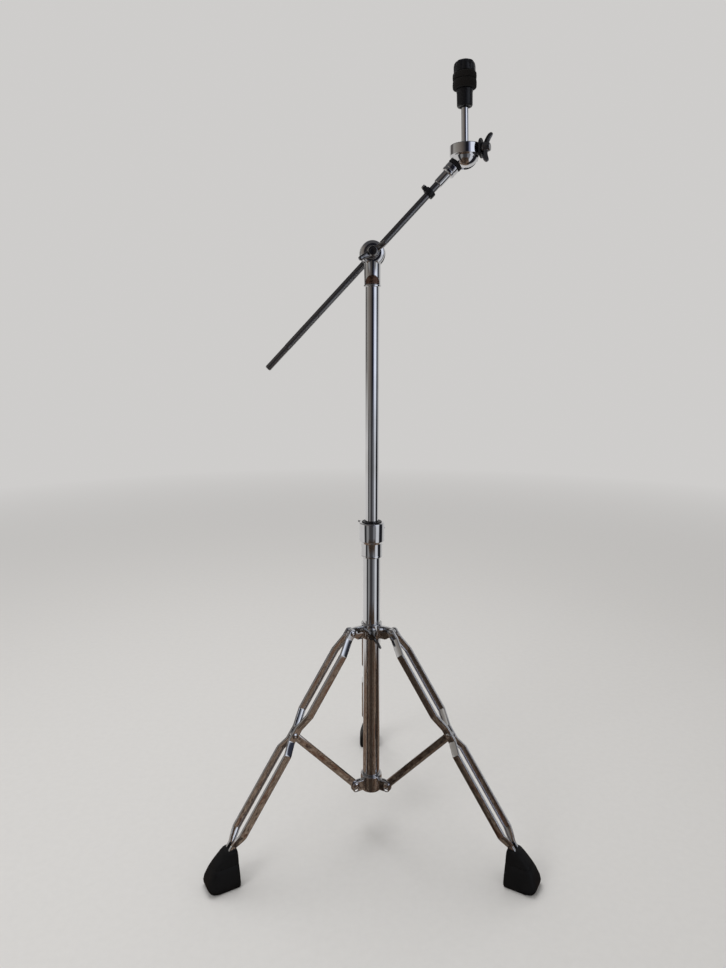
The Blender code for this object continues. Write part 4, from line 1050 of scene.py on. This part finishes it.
def build_cup():
    """The cup over the ball, with its slot, a fine groove round its top and the rod's socket."""
    line = rod_line()
    bolt_line = shift(0, 0, 4.4) @ spin("Z", CYMBAL_BOLT_TURN) @ ALONG_X
    radius, top = CUP_R, CUP_TOP
    cavity = BALL_R + GAP
    opening = 5.5
    bowl_start = -math.degrees(math.asin(4 / BOWL_R))
    bowl_end = -math.degrees(math.acos(opening / BOWL_R))
    profile = [
        (ROD_R + GAP, top, 0.3), (7.0, top, 0.4), (7.6, top - 0.5, 0.3), (9.5, top - 0.5, 0.3),
        (10.1, top, 0.4),
        (radius - 0.4, top, 0.9), (radius, top - 0.9, 0.8), (radius, -1.8, 0.8), (radius - 0.6, -2.6, 0.4),
    ]
    profile += [(x, y, 0) for x, y in arc((0, 0), BOWL_R, bowl_start, bowl_end, 24)]
    profile += [(opening, -math.sqrt(cavity**2 - opening**2), 0.1)]
    swing = math.pi / 2 - BOOM_ANGLE + ROD_LEAN + math.radians(1)
    half = NECK + GAP
    upper = (half * math.cos(swing), half * math.sin(swing))
    length = 34
    lower = (upper[0] + length * math.sin(swing), upper[1] - length * math.cos(swing))
    fan = [(-upper[0], upper[1]), (-lower[0], lower[1]), lower, upper]
    cup = combined(
        lathe(profile, 0.4, 128),
        cut(moved(prism(fan, -half - 0.2, half + 0.2, 0), UPRIGHT)),
        cut(moved(rod(BOLT_HOLE, 6, 30), bolt_line)),
    )
    skin(moved(cup, line), "cymbal_cup")
    seat = lathe([(5.5, 9.3), (8.9, 9.3), (8.9, 4.6), (7.5, 6.1), (5.5, 7.9)], 0.3, 64)
    skin(moved(seat, line), "ball_seat")
    face = 23.2
    washer = [
        (12.5, face, 0.7), (12.5, 20.9, 0.7), (BOLT_HOLE, 20.9, 0.3), (BOLT_HOLE, face, 0.3),
        (9.5, face, 0.2),
        (10, face - 0.5, 0.2), (11.0, face - 0.5, 0.2), (11.4, face, 0.2),
    ]
    skin(moved(lathe(washer, 0.4), line, bolt_line), "cymbal_wing_washer")
    start = face + GAP
    bolt = wing_bolt_mesh(BOLT_HUB, BOLT_HEIGHT, 49, 11, 6.2, THREAD_R, start - BALL_R - 2 * GAP, -30)
    skin(moved(bolt, line, bolt_line, shift(0, 0, start)), "cymbal_wing_bolt", "shaded_bolt_chrome")


def build_cymbal_seat():
    line = rod_line()
    shoulder = SLEEVE_LOW + 12
    top = NUT_HIGH - 5
    thread = []
    z = top - 0.8
    while z > shoulder + 1:
        thread += [(THREAD_R, z, 0.05), (THREAD_R - 0.55, z - 0.62, 0.05)]
        z -= 1.25
    profile = [(0, top), (THREAD_R - 0.8, top, 0.2)] + thread
    profile += [(THREAD_R - 0.3, shoulder + 0.4, 0.1), (ROD_R - 0.4, shoulder - 0.2, 0.3)]
    profile += [(ROD_R, shoulder - 0.9, 0.3), (ROD_R, 9.9, 0.2), (0, 9.9)]
    skin(moved(lathe(profile, 0.1, 64, smooth=2), line), "cymbal_rod")
    ledge, wide, narrow = FELT_LOW - GAP, ROD_R + GAP, THREAD_R + GAP
    sleeve = [
        (5.4, FELT_HIGH - 1, 0.3), (5.4, ledge, 0.3), (10.2, ledge, 0.6), (10.95, FELT_LOW - 1.2, 0.8),
        (10.9, FELT_LOW - 4.5, 0.4), (10.55, FELT_LOW - 5, 0.4), (10.4, SLEEVE_LOW + 1.8, 0.8),
        (9.5, SLEEVE_LOW, 0.8), (7.2, SLEEVE_LOW, 0.3), (6.6, SLEEVE_LOW + 1.2, 0.3),
        (wide + 0.4, SLEEVE_LOW + 1.2, 0.2), (wide, SLEEVE_LOW + 1.6, 0.2), (wide, shoulder - 0.4, 0.1),
        (narrow, shoulder + 0.5, 0.1), (narrow, FELT_HIGH - 1, 0.2),
    ]
    skin(moved(lathe(sleeve, 0.4, FINE), line), "cymbal_sleeve")
    skin(moved(felt_mesh(FELT_LOW, FELT_MIDDLE - GAP, 1, 0.22), line), "lower_felt", angle=180)
    skin(moved(felt_mesh(FELT_MIDDLE, FELT_HIGH - GAP, 2, 0.15), line), "upper_felt", angle=180)
    build_cap_nut(line)


def felt_mesh(low, high, seed, sag):
    """A pressed felt pad: crowned where it is free, flat where it is held, with matted fibres on its skin."""
    radius, hole = 15.6, 5.8
    height = high - low
    corner = 1.3
    profile = []
    steps = 10
    for step in range(steps + 1):
        t = step / steps
        profile.append((hole + (radius - corner - hole) * t, high))
    profile += arc((radius - corner, high - corner), corner, 80, 0, 5)
    side = 6
    for step in range(1, side):
        profile.append((radius, high - corner - (height - 2 * corner) * step / side))
    profile += arc((radius - corner, low + corner), corner, 0, -90, 5)
    for step in range(1, steps + 1):
        t = 1 - step / steps
        profile.append((hole + (radius - corner - hole) * t, low))
    for step in range(1, 4):
        profile.append((hole, low + height * step / 4))
    sides = 120
    rings = []
    random.seed(seed)
    offset = Vector((random.random() * 50, random.random() * 50, random.random() * 50))
    for r, z in profile:
        ring = []
        for angle in turns(sides):
            away = Vector((math.cos(angle), math.sin(angle), 0))
            share = (r - hole) / (radius - hole)
            free = max(0.0, share) ** 3
            middle = 1 - abs(2 * (z - low) / height - 1)
            crown = 0.35 * middle * free
            droop = -sag * free * max(0.0, 0.35 - away.x)
            point = away * (r + crown) + Vector((0, 0, z))
            lump = noise.noise(point * 0.16 + offset) * 0.22 + noise.noise(point * 0.7 + offset) * 0.12
            fuzz = noise.noise(point * 2.6 + offset) * 0.09
            inward = 0.05 + 0.28 * free
            reach = r + crown + (lump + fuzz) * free - inward * 0.4
            ring.append((reach * away.x, reach * away.y, z + droop + (lump * 0.3 - 0.08) * free))
        rings.append(ring)
    return subdivided(rings_mesh(rings, cap_ends=False, join_ends=True), 1)


def build_cap_nut(line):
    """The domed nut, with finger lobes round its side and a shallow dimple on top."""
    radius = 14.35
    top = NUT_HIGH
    profile = [
        (0, top - 0.35), (3.2, top - 0.3, 0.5), (4.2, top, 0.6), (8, top - 0.3, 2), (11.7, top - 1.7, 2.5),
        (13.6, top - 4.1, 2), (radius, top - 7.6, 2), (radius, FELT_HIGH + 1.3, 0.6),
        (radius - 0.9, FELT_HIGH, 0.5),
        (THREAD_R + GAP, FELT_HIGH, 0.3), (THREAD_R + GAP, top - 4, 0.3), (0, top - 4),
    ]

    def lobes(r, z, angle):
        if r < 8 or z < FELT_HIGH + 0.6:
            return r
        fade = min(1, (r - 8) / 4) * min(1, (z - FELT_HIGH - 0.6) / 2.5)
        wave = abs(math.cos(4 * angle)) ** 0.6
        return r - 1.35 * (1 - wave) * fade

    skin(moved(lathe(profile, 0.6, 192, lobes, smooth=5), line), "cap_nut", angle=50)


# Floor, light and camera


ROOM = (0.62, 0.61, 0.60, 1)
HIGH_BANDS = (
    (0.0, (0.60, 0.59, 0.58)), (0.09, (0.45, 0.44, 0.43)), (0.13, (0.07, 0.065, 0.06)),
    (0.17, (0.08, 0.07, 0.07)),
    (0.22, (0.32, 0.31, 0.29)), (0.33, (0.22, 0.20, 0.18)), (0.42, (0.12, 0.10, 0.09)),
    (0.47, (0.05, 0.045, 0.045)),
    (0.50, (0.010, 0.010, 0.014)), (0.545, (0.012, 0.013, 0.020)), (0.565, (0.20, 0.22, 0.32)),
    (0.585, (0.28, 0.30, 0.40)), (0.60, (0.85, 0.90, 1.02)), (0.695, (0.80, 0.86, 0.98)),
    (0.71, (0.035, 0.038, 0.055)),
    (0.775, (0.020, 0.022, 0.032)), (0.80, (0.34, 0.34, 0.35)), (0.86, (0.52, 0.52, 0.52)),
    (1.0, (0.60, 0.59, 0.58)),
)
LOW_BANDS = (
    (0.0, (0.62, 0.61, 0.60)), (0.295, (0.58, 0.57, 0.56)), (0.315, (0.03, 0.03, 0.03)),
    (0.355, (0.03, 0.03, 0.032)),
    (0.375, (0.26, 0.26, 0.26)), (0.42, (0.22, 0.22, 0.22)), (0.44, (0.05, 0.048, 0.05)),
    (0.52, (0.045, 0.045, 0.05)),
    (0.54, (0.17, 0.175, 0.19)), (0.60, (0.20, 0.205, 0.22)), (0.615, (0.62, 0.64, 0.68)),
    (0.68, (0.60, 0.62, 0.66)), (0.70, (0.012, 0.012, 0.015)),
    (0.79, (0.014, 0.014, 0.018)), (0.82, (0.50, 0.50, 0.50)), (1.0, (0.62, 0.61, 0.60)),
)


def color_ramp(add, share, stops):
    """The colour at a share from 0 to 1 along a list of stops."""
    ramp = add("ShaderNodeValToRGB", {0: share})
    band = ramp.color_ramp
    band.elements[0].position, band.elements[0].color = stops[0][0], (*stops[0][1], 1)
    band.elements[1].position, band.elements[1].color = stops[-1][0], (*stops[-1][1], 1)
    for position, colour in stops[1:-1]:
        band.elements.new(position).color = (*colour, 1)
    return ramp.outputs[0]


def room_bands(add, x, y, z):
    """What chrome sees round the stand: pale behind, darker in front, other bands low than high."""
    ahead = add("ShaderNodeMath", {0: y, 1: -1.0}, operation="MULTIPLY").outputs[0]
    angle = add("ShaderNodeMath", {0: x, 1: ahead}, operation="ARCTAN2").outputs[0]
    share = add("ShaderNodeMapRange", {0: angle, 1: -math.pi, 2: math.pi}).outputs[0]
    height = add("ShaderNodeMapRange", {0: z, 1: -0.14, 2: 0.04}).outputs[0]
    values = {0: height, 6: color_ramp(add, share, LOW_BANDS), 7: color_ramp(add, share, HIGH_BANDS)}
    return add("ShaderNodeMix", values, data_type="RGBA").outputs[2]


def build_floor():
    shape = bmesh.new()
    bmesh.ops.create_circle(shape, cap_ends=True, segments=96, radius=9000)
    floor = bpy.data.objects.new("floor", finish_mesh(shape))
    bpy.context.scene.collection.objects.link(floor)
    s = Shader("pale_floor")
    grain = s.noise(90, 4)
    pale = s.blend(s.span(grain, 0.3, 0.7, 0, 0.5), (0.76, 0.75, 0.735, 1), (0.72, 0.71, 0.695, 1))
    s.set(Base_Color=pale, Roughness=0.85, Specular_IOR_Level=0.1)
    warm = s.blend(s.span(s.noise(70, 6, 0.8), 0.42, 0.58), (0.055, 0.035, 0.03, 1), (0.42, 0.32, 0.24, 1))
    warm = s.blend(s.span(s.noise(11, 3), 0.5, 0.62, 0, 0.6), warm, (0.16, 0.06, 0.03, 1))
    came = s.add("ShaderNodeSeparateXYZ", {0: s.add("ShaderNodeNewGeometry").outputs["Incoming"]}).outputs
    # In reflections the floor shows a rug with painted shade: its colour is scaled by how bright the room's bands
    # are in the direction it is seen from.
    bands = room_bands(s.add, *(s.times(part, -1) for part in came))
    level = s.span(s.add("ShaderNodeRGBToBW", {0: bands}).outputs[0], 0.0, 0.5, 0.16, 0.85)
    shaded = s.add("ShaderNodeVectorMath", {0: warm}, operation="SCALE")
    s.tree.links.new(level, shaded.inputs["Scale"])
    cloth = s.add("ShaderNodeBsdfDiffuse", {"Color": shaded.outputs[0]})
    far = s.add("ShaderNodeEmission", {"Color": ROOM, "Strength": 1.0})
    place = s.add("ShaderNodeTexCoord").outputs["Object"]
    distance = s.add("ShaderNodeVectorMath", {0: place}, operation="LENGTH").outputs["Value"]
    fade = s.span(distance, 1.2, 3.4)
    glossy = s.add("ShaderNodeLightPath").outputs["Is Glossy Ray"]
    first = s.add("ShaderNodeMixShader", {0: fade, 1: s.out.outputs[0], 2: far.outputs[0]})
    side, depth, _ = s.add("ShaderNodeSeparateXYZ", {0: place}).outputs
    inside = s.span(s.math("ABSOLUTE", side), 0.55, 0.75, 1, 0)
    inside = s.times(inside, s.span(depth, -1.5, -1.2))
    inside = s.times(inside, s.span(depth, 0.18, 0.26, 1, 0))
    open_air = s.add("ShaderNodeBsdfTransparent")
    mirrored = s.add("ShaderNodeMixShader", {0: inside, 1: open_air.outputs[0], 2: cloth.outputs[0]})
    second = s.add("ShaderNodeMixShader", {0: glossy, 1: first.outputs[0], 2: mirrored.outputs[0]})
    s.tree.links.new(second.outputs[0], s.tree.nodes["Material Output"].inputs[0])
    floor.data.materials.append(s.material)


def build_world():
    """Plain pale surroundings. Reflections see a soft room: pale behind, dark in front."""
    world = bpy.data.worlds.new("studio")
    bpy.context.scene.world = world
    world.use_nodes = True
    tree = world.node_tree
    tree.nodes.clear()

    def add(kind, values=None, **settings):
        return add_node(tree, kind, values, **settings)

    direction = add("ShaderNodeSeparateXYZ", {0: add("ShaderNodeTexCoord").outputs["Generated"]})
    x, y, z = direction.outputs
    bands = room_bands(add, x, y, z)
    overhead = add("ShaderNodeMapRange", {0: z, 1: 0.45, 2: 0.75}).outputs[0]
    room = add("ShaderNodeMix", {0: overhead, 6: bands, 7: (0.075, 0.075, 0.08, 1)}, data_type="RGBA")
    rays = add("ShaderNodeLightPath").outputs
    glossy = add("ShaderNodeBackground", {0: room.outputs[2], 1: 1.0})
    plain = add("ShaderNodeBackground", {0: ROOM, 1: 0.72})
    seen = add("ShaderNodeBackground", {0: ROOM, 1: 1.0})
    first = add("ShaderNodeMixShader", {0: rays["Is Glossy Ray"], 1: plain.outputs[0], 2: glossy.outputs[0]})
    second = add("ShaderNodeMixShader", {0: rays["Is Camera Ray"], 1: first.outputs[0], 2: seen.outputs[0]})
    add("ShaderNodeOutputWorld", {0: second.outputs[0]})


def add_light(name, place, target, size, power):
    data = bpy.data.lights.new(name, "AREA")
    data.size = size
    data.energy = power
    light = bpy.data.objects.new(name, data)
    bpy.context.scene.collection.objects.link(light)
    light.visible_glossy = False
    light.location = place
    light.rotation_euler = (Vector(target) - Vector(place)).to_track_quat("-Z", "Y").to_euler()


def build_studio():
    build_floor()
    build_world()
    add_light("overhead", (-0.3, 0.5, 2.6), (0, 0, 0.5), 1.6, 26)
    add_light("front_left", (-1.5, -1.6, 1.7), (0, 0, 0.6), 1.0, 12)
    camera = bpy.data.cameras.new("camera")
    camera.sensor_fit = "VERTICAL"
    camera.sensor_height = 36
    camera.lens = 25.67
    obj = bpy.data.objects.new("camera", camera)
    bpy.context.scene.collection.objects.link(obj)
    obj.location = (-0.0128, -0.9763 + TUBE_Y * MM, 0.7427)
    obj.rotation_euler = (math.pi / 2 - 0.19, 0, 0)
    bpy.context.scene.camera = obj
    bpy.context.scene.view_settings.view_transform = "Standard"


def finish_carried_nodes():
    """CAD nodes that stay as they are, inside the stand, take the finish of their slot."""
    for name, obj in frame["nodes"].items():
        if not obj.hide_render:
            obj.data.materials.clear()
            obj.data.materials.append(MATERIALS[SLOT_OF[name]])


build_upright()
build_tripod()
build_receiver()
build_tilter()
build_boom_rod()
build_boom_end()
build_cup()
build_cymbal_seat()
finish_carried_nodes()
build_studio()
